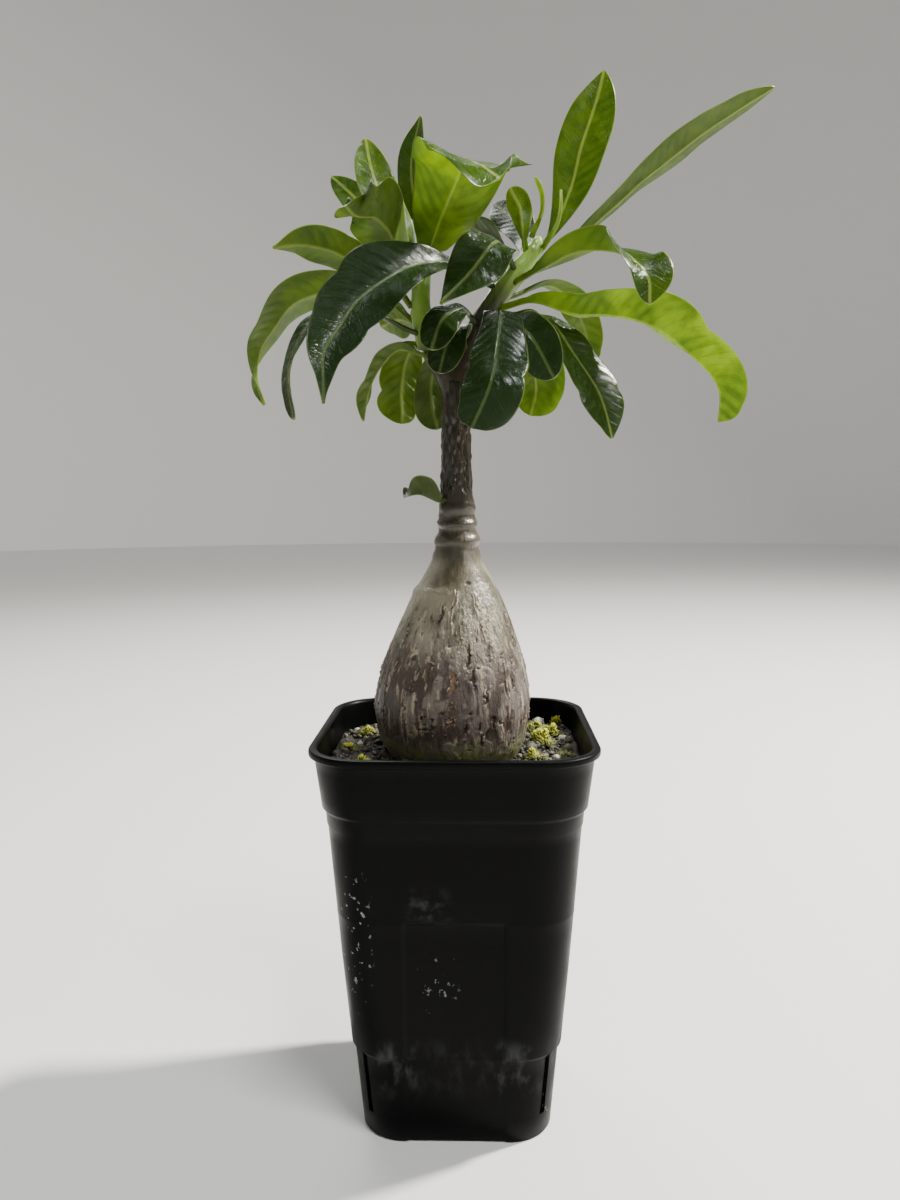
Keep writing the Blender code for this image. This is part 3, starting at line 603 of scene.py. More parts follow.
POT_HEIGHT = 128.3
LIP_HALF = 45.0
LIP_HEIGHT = 2.5
LIP_CORNER = 18.5
COLLAR_TOP_HALF = 43.5
COLLAR_FOOT_HALF = 41.4
COLLAR_FOOT_Z = 108.7
BODY_TOP_HALF = 40.3
BODY_FOOT_HALF = 31.6
BODY_CORNER = 13.9
CORNER_GROW_Z = 60.0
WALL = 1.3
FLOOR = 1.8
EDGE = 0.6
PANEL_HALF = 15.0
PANEL_TOP_Z = 76.0
PANEL_DEPTH = 1.2
FOOT_TOP_Z = 30.0
FOOT_INSET = 0.8
RECESS_SLOPE = 1.2
SLIT_WIDTH = 2.2
SLIT_REACH = 4.0                # half of the cutter's depth into the corner
SLIT_FOOT_Z = 8.0
SLIT_TOP_Z = 30.0
DRAIN_RADIUS = 3.5
DRAIN_OFFSET = 15.0
DRAIN_SIDES = 24
CORNER_STEPS = 18
SHARP_ANGLE = 50


def body_half(height):
    """Half of the pot's outer width below the collar."""
    return BODY_FOOT_HALF + (BODY_TOP_HALF - BODY_FOOT_HALF) * height / COLLAR_FOOT_Z


def body_corner(height):
    """Radius of the pot's round corners, which grow towards the lip."""
    rise = np.maximum(0.0, height - CORNER_GROW_Z) / (POT_HEIGHT - CORNER_GROW_Z)
    return BODY_CORNER + (LIP_CORNER - BODY_CORNER) * rise


def collar_half(height):
    """Half of the pot's outer width on the collar."""
    rise = (height - COLLAR_FOOT_Z) / (POT_HEIGHT - LIP_HEIGHT - COLLAR_FOOT_Z)
    return COLLAR_FOOT_HALF + (COLLAR_TOP_HALF - COLLAR_FOOT_HALF) * rise


def outline(half, corner, panel):
    """A square with round corners, each side recessed by panel between two short slopes."""
    edge = half - corner
    out = PANEL_HALF + RECESS_SLOPE
    along = np.array([-edge, -out - 0.3, -out + 0.1, -PANEL_HALF - 0.1, -PANEL_HALF + 0.3, 0.0,
                      PANEL_HALF - 0.3, PANEL_HALF + 0.1, out - 0.1, out + 0.3, edge])
    depth = np.array([0.0, 0.0, 0.08, 0.92, 1.0, 1.0, 1.0, 0.92, 0.08, 0.0, 0.0]) * panel
    angle = -math.pi / 2 + np.arange(1, CORNER_STEPS) * math.pi / 2 / CORNER_STEPS
    x = np.concatenate([along, edge + corner * np.cos(angle)])
    y = np.concatenate([depth - half, -edge + corner * np.sin(angle)])
    quarters = [np.stack(turn, axis=1) for turn in ((x, y), (-y, x), (-x, -y), (y, -x))]
    return np.concatenate(quarters)


def wall_rows(inset, foot_z, top_z):
    """Height, half width, corner and panel depth of the wall's rows, moved in by inset."""
    panel = PANEL_DEPTH - FOOT_INSET
    rows = []
    for z in (foot_z, 8.0, 15.0, 22.0, FOOT_TOP_Z - RECESS_SLOPE - 0.3):
        rows.append((z, body_half(z) - FOOT_INSET, panel))
    rows.append((FOOT_TOP_Z - RECESS_SLOPE + 0.1, body_half(FOOT_TOP_Z) - FOOT_INSET + 0.1,
                 panel + 0.05))
    rows.append((FOOT_TOP_Z - 0.1, body_half(FOOT_TOP_Z) - 0.1, PANEL_DEPTH - 0.05))
    for z in (FOOT_TOP_Z + 0.3, 40.0, 50.0, 60.0, 70.0, PANEL_TOP_Z - RECESS_SLOPE - 0.3):
        rows.append((z, body_half(z), PANEL_DEPTH))
    rows.append((PANEL_TOP_Z - RECESS_SLOPE + 0.1, body_half(PANEL_TOP_Z), PANEL_DEPTH * 0.92))
    rows.append((PANEL_TOP_Z - 0.1, body_half(PANEL_TOP_Z), PANEL_DEPTH * 0.08))
    for z in (PANEL_TOP_Z + 0.3, 84.0, 92.0, 100.0, 103.4):
        rows.append((z, body_half(z), 0.0))
    rows.append((103.8, body_half(103.8) + 0.25, 0.0))
    rows.append((COLLAR_FOOT_Z - RECESS_SLOPE / 2 - 0.2, BODY_TOP_HALF + 0.2, 0.0))
    rows.append((COLLAR_FOOT_Z - RECESS_SLOPE / 2 + 0.15, BODY_TOP_HALF + 0.35, 0.0))
    rows.append((COLLAR_FOOT_Z + RECESS_SLOPE / 2 - 0.15, COLLAR_FOOT_HALF - 0.1, 0.0))
    for z in (COLLAR_FOOT_Z + RECESS_SLOPE / 2 + 0.2, 113.0, 118.0, 122.0, top_z):
        rows.append((z, collar_half(z), 0.0))
    return [(z, half - inset, body_corner(z) - inset, panel) for z, half, panel in rows]


def cut(piece, tools):
    """Cut a piece by other objects and drop them."""
    for tool in tools:
        modifier = piece.modifiers.new("cut", "BOOLEAN")
        modifier.operation = "DIFFERENCE"
        modifier.solver = "EXACT"
        modifier.object = tool
    depsgraph = bpy.context.evaluated_depsgraph_get()
    mesh = bpy.data.meshes.new_from_object(piece.evaluated_get(depsgraph))
    piece.modifiers.clear()
    piece.data = mesh
    for tool in tools:
        bpy.data.objects.remove(tool, do_unlink=True)


def prism(name, plan, low, high):
    """A closed prism over a plan, between two heights."""
    return skin(name, np.array([np.column_stack([plan, np.full(len(plan), z)])
                                for z in (low, high)]))


def build_pot():
    """The pot: rows of its outline from the foot up, over the lip and down to the floor inside."""
    lip_foot = POT_HEIGHT - LIP_HEIGHT
    foot_half = body_half(0.0) - FOOT_INSET
    panel = PANEL_DEPTH - FOOT_INSET
    rows = [(0.0, foot_half - 0.9, BODY_CORNER - 0.9, panel),
            (0.15, foot_half - 0.35, BODY_CORNER - 0.4, panel)]
    rows += wall_rows(0.0, EDGE, lip_foot - 0.25)
    rows += [
        (lip_foot, COLLAR_TOP_HALF + 0.2, LIP_CORNER, 0.0),
        (lip_foot + 0.1, LIP_HALF - 0.45, LIP_CORNER, 0.0),
        (lip_foot + 0.45, LIP_HALF - 0.1, LIP_CORNER, 0.0),
        (lip_foot + 0.8, LIP_HALF, LIP_CORNER, 0.0),
        (POT_HEIGHT - 0.7, LIP_HALF, LIP_CORNER, 0.0),
        (POT_HEIGHT - 0.25, LIP_HALF - 0.12, LIP_CORNER - 0.1, 0.0),
        (POT_HEIGHT, LIP_HALF - 0.6, LIP_CORNER - 0.5, 0.0),
        (POT_HEIGHT, COLLAR_TOP_HALF - 0.5, LIP_CORNER - WALL, 0.0),
        (POT_HEIGHT - 0.4, COLLAR_TOP_HALF - 1.0, LIP_CORNER - WALL - 0.3, 0.0),
    ]
    rows += reversed(wall_rows(WALL, FLOOR + 0.5, POT_HEIGHT - WALL))
    rows.append((FLOOR, body_half(0.0) - FOOT_INSET - WALL - 0.6, BODY_CORNER - WALL - 0.5, panel))
    grid = []
    for z, half, corner, depth in rows:
        plan = outline(half, corner, depth)
        grid.append(np.column_stack([plan, np.full(len(plan), z)]))
    pot = skin("pot_wall", np.array(grid))

    tools = []
    middle = (SLIT_TOP_Z + SLIT_FOOT_Z) / 2
    reach = (body_half(middle) - BODY_CORNER) * math.sqrt(2) + BODY_CORNER
    around = np.linspace(0, 2 * math.pi, DRAIN_SIDES, endpoint=False)
    box = np.array([[-1, -1], [1, -1], [1, 1], [-1, 1]])
    for quarter in range(4):
        angle = math.pi / 4 + quarter * math.pi / 2
        turn = np.array([[math.cos(angle), math.sin(angle)], [-math.sin(angle), math.cos(angle)]])
        slit = (box * [SLIT_REACH, SLIT_WIDTH / 2] + [reach, 0.0]) @ turn
        tools.append(prism(f"slit_{quarter}", slit, SLIT_FOOT_Z, SLIT_TOP_Z))
        drain = np.stack([np.cos(around), np.sin(around)], axis=1) * DRAIN_RADIUS
        drain = (drain + [DRAIN_OFFSET, 0.0]) @ turn
        tools.append(prism(f"drain_{quarter}", drain, -2 * FLOOR, 2 * FLOOR))
    cut(pot, tools)
    pot.data.shade_smooth()
    pot.data.set_sharp_from_angle(angle=math.radians(SHARP_ANGLE))
    return wear(pot, pot_finish(), "pot")


# Trunk

TRUNK_PROFILE = [
    (241.0, 4.3), (226.0, 4.6), (211.0, 5.0), (203.0, 5.4), (200.6, 6.0), (198.8, 5.6),
    (195.4, 6.4), (193.8, 6.1), (190.2, 7.2), (188.2, 6.9), (186.0, 7.7), (182.8, 8.8),
    (180.1, 10.2), (177.2, 11.8), (174.8, 13.2), (170.2, 15.5), (163.2, 18.3), (156.8, 20.8),
    (148.7, 23.5), (141.0, 25.1), (134.4, 25.5), (128.5, 24.8), (123.0, 23.3), (118.0, 20.6),
    (111.0, 17.0), (100.0, 12.0), (86.0, 7.5), (72.0, 4.5), (62.0, 2.4),
]
TRUNK_LEAN = [(62.0, 0.0), (116.0, -0.4), (130.0, -1.4), (150.0, -0.8), (165.0, 0.1), (241.0, 0.4)]
TRUNK_COLUMNS = 300
# Heights between which the trunk has rows, and how many rows from each to the next
TRUNK_ROWS = [(62.0, 117.0, 14), (117.0, 178.0, 216), (178.0, 241.0, 94)]
BRANCHES = {
    "left": [
        (0.2, 0, 236, 3.9), (-2.4, 0, 244, 3.9), (-6.0, 1, 250, 3.6), (-9.3, 2, 256.5, 3.4),
        (-10.5, 2, 264, 3.2), (-10.3, 2, 272, 2.9), (-9.4, 2, 279, 2.4), (-8.9, 2, 283, 1.3),
    ],
    "right": [
        (0.4, 0, 236, 4.0), (2.2, 0, 245, 4.1), (5.6, 0, 253, 3.8), (10.5, -1, 262, 3.6),
        (15.8, -1, 269.5, 3.4), (21.5, 0, 276.5, 3.1), (25.8, 1, 282.5, 2.5), (27.6, 1, 286.5, 1.3),
    ],
    "stem": [
        (0.4, 0, 190, 6.9), (0.4, 0, 200, 5.9), (0.4, 0, 211, 5.0), (0.4, 0, 226, 4.6),
        (0.4, 0, 241, 4.3),
    ],
}
BRANCH_ROWS = 90
BRANCH_COLUMNS = 40
BRANCH_SUNK = 6.0               # how far a branch starts down inside the trunk
# Seams in the bark: degrees from the front to the right, top and foot height, half width in
# millimetres, share of orange bark in it and how dark its middle is, a darkness that stands for
# darker bark and for painted shade in the sunk middle
SEAMS = [
    (1, 157, 127, 0.75, 1.0, 0.3), (-3, 176, 158, 0.35, 0.1, 0.3), (-9, 163, 150, 0.30, 0.3, 0.3),
    (-14, 172, 163, 0.35, 0.0, 0.5), (-19, 166, 146, 0.50, 0.4, 0.3),
    (-21, 142, 134, 0.60, 0.0, 0.4), (-29, 154, 141, 0.40, 0.2, 0.3),
    (-33, 170, 162, 0.45, 0.4, 0.2), (-35, 160, 150, 0.40, 0.3, 0.3),
    (-36, 146, 124, 0.45, 0.5, 0.3), (-12, 136, 129, 0.55, 0.1, 0.6),
    (7, 172, 154, 0.35, 0.1, 0.3), (13, 160, 149, 0.45, 0.2, 0.6), (17, 152, 144, 0.45, 0.0, 0.7),
    (11, 137, 130, 0.55, 0.0, 0.5), (22, 136, 126, 0.45, 0.0, 1.0), (23, 175, 160, 0.30, 0.1, 0.1),
    (30, 174, 158, 0.30, 0.1, 0.1), (36, 171, 152, 0.35, 0.1, 0.2), (27, 150, 140, 0.40, 0.1, 0.4),
    (46, 158, 140, 0.45, 0.2, 0.3), (-50, 164, 148, 0.45, 0.5, 0.3),
    (-57, 150, 130, 0.50, 0.6, 0.3), (-70, 160, 142, 0.45, 0.4, 0.4),
    (60, 150, 131, 0.50, 0.5, 0.3), (72, 168, 150, 0.40, 0.2, 0.3), (84, 154, 130, 0.65, 0.8, 0.3),
    (-86, 158, 133, 0.60, 0.7, 0.4), (98, 146, 128, 0.45, 0.3, 0.6),
    (112, 162, 144, 0.45, 0.5, 0.2), (124, 150, 127, 0.85, 0.9, 0.3),
    (139, 168, 150, 0.40, 0.2, 0.3), (150, 146, 130, 0.50, 0.4, 0.7),
    (163, 160, 138, 0.55, 0.6, 0.3), (178, 152, 127, 0.70, 0.9, 0.3),
    (-168, 168, 152, 0.40, 0.3, 0.3), (-157, 148, 130, 0.50, 0.3, 0.6),
    (-143, 164, 142, 0.55, 0.6, 0.3), (-129, 152, 128, 0.75, 0.9, 0.3),
    (-116, 166, 150, 0.40, 0.2, 0.3), (-102, 144, 127, 0.50, 0.4, 0.5),
]


def build_trunk():
    """The trunk: its profile turned about a leaning middle, with seams, plates, pits and rings.

    The radius at an angle and height is the profile's, plus noise that is drawn out along the
    height, plus ragged raised edges and a sunk middle at each seam, plus wrinkles round the neck.
    """
    profile = np.array(TRUNK_PROFILE[::-1])
    z = np.unique(np.concatenate([np.linspace(*part) for part in TRUNK_ROWS]))
    radius = hermite(profile[:, 0], profile[:, 1], z)
    lean = np.array(TRUNK_LEAN)
    shift = hermite(lean[:, 0], lean[:, 1], z)
    angle = np.linspace(-math.pi, math.pi, TRUNK_COLUMNS, endpoint=False)
    height, turn = np.meshgrid(z, angle, indexing="ij")
    base = np.broadcast_to(radius[:, None], height.shape)
    bark = smooth_step(height, 118.0, 126.0) * smooth_step(height, 176.0, 160.0)
    around = np.stack([np.cos(turn) * 25.0, np.sin(turn) * 25.0], axis=-1)

    def grain(width, length, seed, octaves=3):
        """Noise with a width round the trunk and a length along it, in millimetres."""
        place = np.concatenate([around / width, height[..., None] / length], axis=-1)
        return fractal(place, seed, octaves)

    def sway(length, key, seed):
        """Noise along the height alone, which differs from key to key."""
        return value_noise(np.stack([height / length, 0 * height, 0 * height + key], -1), seed)

    broad = grain(14.0, 26.0, 3, 2)
    ridge = 1 - np.abs(grain(2.2, 13.0, 7))
    pits = smooth_step(grain(1.5, 1.7, 23, 2), 0.70, 0.95) * (0.25 + 0.75 * bark)
    pits *= smooth_step(height, 119.0, 124.0)
    strip = np.zeros_like(height)
    lip = np.zeros_like(height)
    dark = np.zeros_like(height)
    rough_edge = grain(1.2, 1.6, 31)
    worn = grain(3.0, 2.6, 37, 2)
    for degrees, top, foot, half, orange, depth in SEAMS:
        wander = 0.8 * sway(6.0, degrees, 5) + 0.35 * sway(1.4, degrees + 0.5, 6)
        arc = (turn - math.radians(degrees) + math.pi) % (2 * math.pi) - math.pi
        arc = arc * base - wander
        ragged = half * np.clip(1 + 0.9 * rough_edge, 0.2, 2.0)
        span = smooth_step(height, foot, foot + 2) * smooth_step(height, top, top - 2)
        span = span * (0.35 + 0.65 * smooth_step(worn + 0.25 * (half > 0.9), -0.35, 0.0))
        inside = smooth_step(np.abs(arc), ragged * 1.1, ragged * 0.5) * span
        border = np.exp(-((np.abs(arc) - ragged * 1.2) / 0.36)**2) * span
        strip = np.maximum(strip, inside * orange)
        dark = np.maximum(dark, inside * depth)
        lip = np.maximum(lip, border * np.clip(0.75 + 0.6 * grain(0.9, 1.5, 39, 2), 0, 1.2))
    lip = lip * (1 - np.clip(2 * dark, 0, 1) * 0.5)
    fields = grain(4.5, 7.0, 41)
    plates = smooth_step(fields, -0.05, 0.20)
    plate_edge = np.exp(-((fields - 0.08) / 0.05)**2) * bark
    rings = smooth_step(height, 183.0, 189.0) * smooth_step(height, 210.0, 202.0)
    knobs = smooth_step(height, 200.0, 208.0)
    relief = 0.40 * broad * smooth_step(height, 116.0, 130.0) * smooth_step(height, 182.0, 165.0)
    relief += 0.13 * ridge * bark - 0.45 * pits + 0.42 * lip - 0.30 * strip - 0.70 * dark
    relief += 0.28 * plates * bark
    relief += (0.85 * rings * (0.6 - np.abs(grain(40.0, 3.4, 43, 2)))
               + 0.45 * knobs * grain(5.0, 3.2, 47, 2))
    shelf = np.exp(-((height - 174.2) / 1.5)**2) * smooth_step(np.cos(turn + 0.95), 0.45, 0.95)
    relief += 0.75 * shelf
    eye = np.exp(-(((turn - 0.33) * base / 1.1)**2 + ((height - 177.0) / 0.7)**2)**2)
    relief -= 0.3 * eye
    r = base + relief
    grid = np.stack([shift[:, None] + r * np.sin(turn), -r * np.cos(turn), height], axis=-1)

    # Darkness of the sunk seams, pits, eyes and plate edges: darker bark with painted shade in them
    crack = np.clip(dark * 1.3 + 0.7 * pits + 0.8 * eye + 0.35 * plate_edge, 0.0, 1.0)
    dusk = 0.72 * smooth_step(height, 181.0, 187.0) + 0.25 * smooth_step(height, 192.0, 207.0)
    algae = smooth_step(height, 131.0, 121.0) * (0.35 + 0.65 * smooth_step(worn, -0.2, 0.5))
    numbers = {"crack": crack, "strip": strip, "lip": lip, "plate": plates,
               "young": 0 * height, "dusk": dusk, "algae": algae}
    return wear(skin("trunk_bark", grid, numbers), bark_material, "trunk")


def build_branch(name):
    """A branch: circles along its middle line, with knobs where old leaves fell off."""
    rows = np.array(BRANCHES[name], float)
    rows = np.concatenate([[[*rows[0, :2], rows[0, 2] - BRANCH_SUNK, rows[0, 3]]], rows])
    places, tangents = smooth_path(rows[:, :3], BRANCH_ROWS)
    along = np.linspace(0.0, 1.0, BRANCH_ROWS + 1)
    knots = reach_along(rows[:, :3])
    radius = np.interp(along, knots / knots[-1], rows[:, 3])
    radius *= np.sqrt(np.clip((1.004 - along) / 0.03, 0.0, 1.0))
    turn = np.linspace(0.0, 2 * math.pi, BRANCH_COLUMNS, endpoint=False)
    side = unit(np.cross(tangents, [0.0, 1.0, 0.0]))
    front = np.cross(side, tangents)
    s, t = np.meshgrid(along, turn, indexing="ij")
    place = np.stack([np.cos(t) * 1.6, np.sin(t) * 1.6, s * 14], axis=-1)
    knob = smooth_step(value_noise(place, 61), 0.1, 0.7)
    r = radius[:, None] * (1 + 0.06 * fractal(place, 67, 2)) + 0.35 * knob * (s < 0.93)
    grid = (places[:, None] + side[:, None] * (r * np.cos(t))[..., None]
            + front[:, None] * (r * np.sin(t))[..., None])
    young = smooth_step(s, 0.30, 0.62) if name == "left" else smooth_step(s, 0.45, 0.95)
    young = young * (1 - 0.5 * knob)
    numbers = {"crack": 0.6 * knob * (1 - young), "strip": 0 * s, "lip": 0 * s, "plate": 0 * s,
               "young": young, "dusk": 0.85 + 0 * s, "algae": 0 * s}
    return wear(skin("branch_" + name, grid, numbers), bark_material)


# Leaves

STALK_HALF = 1.0
STALK_SHARE = 0.1
TIP_HALF = 0.45
OUTLINE_RISE = 0.75
OUTLINE_ROUND = 3.2
OUTLINE_TIP = 0.55
RISE_TAPER = 0.5
ROUND_TAPER = 0.6
TIP_TAPER = 0.75
LOBE_START = 0.2
LOBE_GROWTH = 2.5
LOBE_SHIFT = 0.3
LOBE_SHARPNESS = 1.5
WAVE_COUNT = 2.5
GAP = 0.3
LEAF_ROWS = 84
LEAF_HALF_COLUMNS = 13
LEAF_SUNK = 1.6              # how far a stalk goes into its branch
RIB_THICKNESS = 1.1
MARGIN_THICKNESS = 0.45
VEIN_SPACING = 4.0

Leaf = namedtuple("Leaf", "place width facing roll twist fold curl wave lobes depth taper tone"
                  " points")

# The same table as the solids', with the branch in each name: place up the branch, width, facing,
# roll and twist in degrees, fold and curl, wave in millimetres, lobes and their depth, taper to a
# point (above 0) or to a broad end (below 0), then the blade's tone from dark old green (0) to
# bright young green (1), which is also painted shade and light, low for leaves in shade and high
# for leaves lit from behind, and the points that the midrib runs through
LEAVES = {
    "leaf_left_01": Leaf(0.86, 13, 105, 0, 0, 0.10, 0.1, 0.4, 0, 0.00, 0.5, 0.90, [
        (-16, 6, 290), (-23, 10, 301), (-27, 13, 312), (-29, 15, 322)]),
    "leaf_left_02": Leaf(0.78, 12, 140, -45, 0, 0.15, 0.0, 0.5, 0, 0.00, 0.4, 0.60, [
        (-17, 13, 285), (-28, 24, 300), (-36, 30, 309), (-43, 34, 316)]),
    "leaf_left_03": Leaf(0.80, 21, 275, 31, -45, 0.70, 0.01, 0.8, 0, 0.00, -0.1, 0.60, [
        (-18, -9, 283), (-20, -13, 286), (-23, -17, 288), (-29, -21, 288), (-31, -23, 290)]),
    "leaf_left_04": Leaf(0.97, 12, 95, -40, -10, 0.20, 0.0, 0.6, 0, 0.00, 0.6, 0.40, [
        (-9, 10, 293), (-13, 17, 304), (-14, 20, 316), (-11, 21, 331)]),
    "leaf_left_05": Leaf(0.95, 32, 290, -14, 17, 0.06, 0.09, 1.0, 0, 0.00, -0.4, 0.90, [
        (-7, -9, 281), (-2, -7, 294), (2, -11, 302), (3, -16, 304), (8, -25, 300), (10, -31, 297),
        (14, -32, 294)]),
    "leaf_left_06": Leaf(0.66, 14, 199, 46, 4, 0.41, -0.06, 0.8, 2, 0.10, 1.1, 0.55, [
        (-21, 0, 275), (-30, -1, 278), (-39, -4, 282), (-48, -7, 283), (-56, -8, 282)]),
    "leaf_left_07": Leaf(0.58, 19, 179, 42, -85, 0.44, -0.24, 0.8, 3, 0.10, 0.9, 0.65, [
        (-24, 8, 270), (-35, 9, 273), (-45, 10, 272), (-54, 11, 268), (-61, 11, 260),
        (-65, 10, 253), (-66, 8, 245), (-63, 6, 235)]),
    "leaf_left_08": Leaf(0.48, 11, 195, -15, 0, 0.25, 0.0, 0.8, 3, 0.18, 0.0, 0.20, [
        (-34, -16, 262), (-44, -20, 255), (-49, -22, 243), (-48, -22, 228)]),
    "leaf_left_09": Leaf(0.36, 17, 110, 0, 0, 0.10, 0.0, 0.8, 3, 0.22, 0.0, 0.60, [
        (-13, 10, 255), (-16, 13, 251), (-18, 14, 242), (-18, 14, 229)]),
    "leaf_left_10": Leaf(0.33, 11, 195, 25, 0, 0.30, 0.0, 0.6, 3, 0.15, 0.0, 0.45, [
        (-17, -7, 251), (-23, -11, 245), (-26, -13, 238), (-28, -14, 228)]),
    "leaf_left_11": Leaf(0.22, 12, 95, 0, 0, 0.10, 0.0, 0.6, 2, 0.10, 0.0, 0.30, [
        (-6, 12, 250), (-8, 15, 243), (-8, 15, 236), (-6, 14, 227)]),
    "leaf_left_12": Leaf(0.52, 15, 120, 50, 0, 0.10, 0.0, 0.8, 3, 0.18, 0.0, 0.50, [
        (-15, 14, 263), (-20, 22, 265), (-26, 29, 264)]),
    "leaf_right_01": Leaf(0.42, 12, 215, -40, 0, 0.10, -0.1, 0.5, 2, 0.10, 0.0, 0.10, [
        (3, -12, 262), (-3, -20, 257), (-6, -24, 248)]),
    "leaf_right_02": Leaf(0.28, 13, 245, 0, 0, 0.10, -0.1, 0.5, 2, 0.10, 0.0, 0.10, [
        (2, -12, 257), (-1, -16, 252), (-4, -17, 242)]),
    "leaf_right_03": Leaf(0.76, 17, 235, -38, 16, 0.07, 0.07, 0.8, 2, 0.05, 1.2, 0.20, [
        (16, -11, 280), (12, -23, 278), (6, -26, 270), (-3, -31, 260)]),
    "leaf_right_04": Leaf(0.74, 16, 125, 45, 0, 0.10, 0.0, 0.8, 2, 0.08, 0.0, 0.15, [
        (16, 8, 286), (9, 14, 292), (0, 22, 301)]),
    "leaf_right_05": Leaf(0.86, 13, 100, -30, 0, 0.10, 0.0, 0.8, 2, 0.08, 0.5, 0.10, [
        (23, 17, 291), (19, 30, 301), (14, 40, 308)]),
    "leaf_right_06": Leaf(0.90, 8, 225, 20, 0, 0.20, 0.0, 0.4, 0, 0.00, 0.0, 0.90, [
        (22, -3, 288), (21, -1, 295), (18, 0, 301)]),
    "leaf_right_07": Leaf(1.00, 3, 200, 0, 0, 0.20, 0.0, 0.0, 0, 0.00, 0.0, 0.95, [
        (28, 0, 294), (28, 0, 299), (26, -1, 304)]),
    "leaf_right_08": Leaf(0.97, 4, 350, 0, 0, 0.20, 0.0, 0.0, 0, 0.00, 0.0, 0.95, [
        (33, -1, 290), (34, -1, 295), (34, -1, 300)]),
    "leaf_right_09": Leaf(0.93, 17, 75, 0, 0, 0.12, 0.0, 0.6, 0, 0.00, 0.7, 0.70, [
        (33, 8, 291), (38, 10, 303), (42, 11, 318), (47, 12, 333), (49, 13, 341)]),
    "leaf_right_10": Leaf(0.88, 14, 12, -35, 0, 0.25, 0.0, 0.5, 0, 0.00, 0.6, 0.50, [
        (32, 4, 281), (45, 8, 292), (62, 13, 307), (81, 16, 322), (105, 18, 337)]),
    "leaf_right_11": Leaf(0.72, 18, 318, -24, 78, 0.53, -0.06, 0.6, 0, 0.00, 0.4, 0.60, [
        (28, -9, 275), (40, -17, 278), (49, -22, 276), (53, -29, 271), (56, -31, 267),
        (57, -32, 259)]),
    "leaf_right_12": Leaf(0.56, 18, 348, -36, 15, 0.95, -0.19, 1.2, 4, 0.16, 0.0, 0.95, [
        (24, -8, 265), (39, -13, 260), (47, -12, 260), (59, -14, 257), (73, -15, 247),
        (81, -17, 236), (82, -13, 227)]),
    "leaf_right_13": Leaf(0.66, 13, 45, -10, 0, 0.15, 0.0, 0.8, 3, 0.12, 0.0, 0.55, [
        (33, 13, 274), (41, 20, 268), (45, 25, 261), (47, 28, 250)]),
    "leaf_right_14": Leaf(0.52, 19, 279, -26, -5, 0.23, -0.09, 0.8, 4, 0.15, 0.5, 0.35, [
        (28, -8, 260), (37, -12, 248), (45, -14, 235), (49, -14, 222)]),
    "leaf_right_15": Leaf(0.38, 14, 288, 33, 10, 0.16, 0.15, 0.4, 2, 0.05, 0.0, 0.10, [
        (19, -14, 257), (23, -20, 253), (30.5, -24, 239.5)]),
    "leaf_right_16": Leaf(0.40, 20, 256, -2, 8, 0.06, -0.29, 0.8, 3, 0.18, -0.4, 0.05, [
        (14, -17, 260), (13, -31, 244), (12, -36, 238), (6, -37, 224)]),
    "leaf_right_17": Leaf(0.36, 22, 60, 0, 0, 0.10, 0.0, 0.8, 2, 0.10, 0.0, 0.80, [
        (20, 12, 260), (26, 18, 250), (28, 21, 241), (26, 22, 232)]),
    "leaf_right_18": Leaf(0.62, 21, 217, -55, -26, 0.40, 0.19, 1.0, 3, 0.20, 1.3, 0.03, [
        (-1, -9, 276), (-6, -16, 275), (-16, -25, 270), (-27, -31, 261), (-32, -35, 253),
        (-36, -39, 245), (-36, -41, 237), (-36, -41, 231)]),
    "leaf_stem": Leaf(0.26, 14, 170, 36, -63, 0.42, 0.16, 0.2, 0, 0.00, 0.4, 0.05, [
        (-5, -6, 203.5), (-11.5, -8, 205.5), (-16, -9, 204.5)]),
}


def leaf_base(branch, leaf):
    """Where a leaf's stalk meets its branch: just off the bark, on the side it grows to."""
    rows = np.array(BRANCHES[branch], float)
    axis = rows[:, :3]
    along = reach_along(axis)
    reach = leaf.place * along[-1]
    middle = np.array([np.interp(reach, along, axis[:, k]) for k in range(3)])
    radius = np.interp(reach, along, rows[:, 3])
    nearest = min(np.searchsorted(along, reach), len(rows) - 1)
    growth = axis[nearest] - axis[nearest - 1]
    growth /= np.linalg.norm(growth)
    toward = np.array(leaf.points[0], float) - middle
    toward -= growth * toward.dot(growth)
    toward /= np.linalg.norm(toward)
    start = np.array(leaf.points[0], float) - middle - toward * radius
    slant = toward.dot(start) / np.linalg.norm(start)
    return middle + toward * (radius + GAP + STALK_HALF * math.sqrt(1 - slant**2))


def outline_share(q, taper):
    """The blade's half width as a share of its widest, from stalk (0) to tip (1)."""
    rise = OUTLINE_RISE * math.exp(RISE_TAPER * taper)
    blunt = OUTLINE_ROUND * math.exp(-ROUND_TAPER * taper)
    tip = OUTLINE_TIP * math.exp(TIP_TAPER * taper)
    grid = np.linspace(0.0, 1.0, 201)
    widest = np.max(grid**rise * (1 - grid**blunt)**tip)
    return q**rise * (1 - q**blunt)**tip / widest


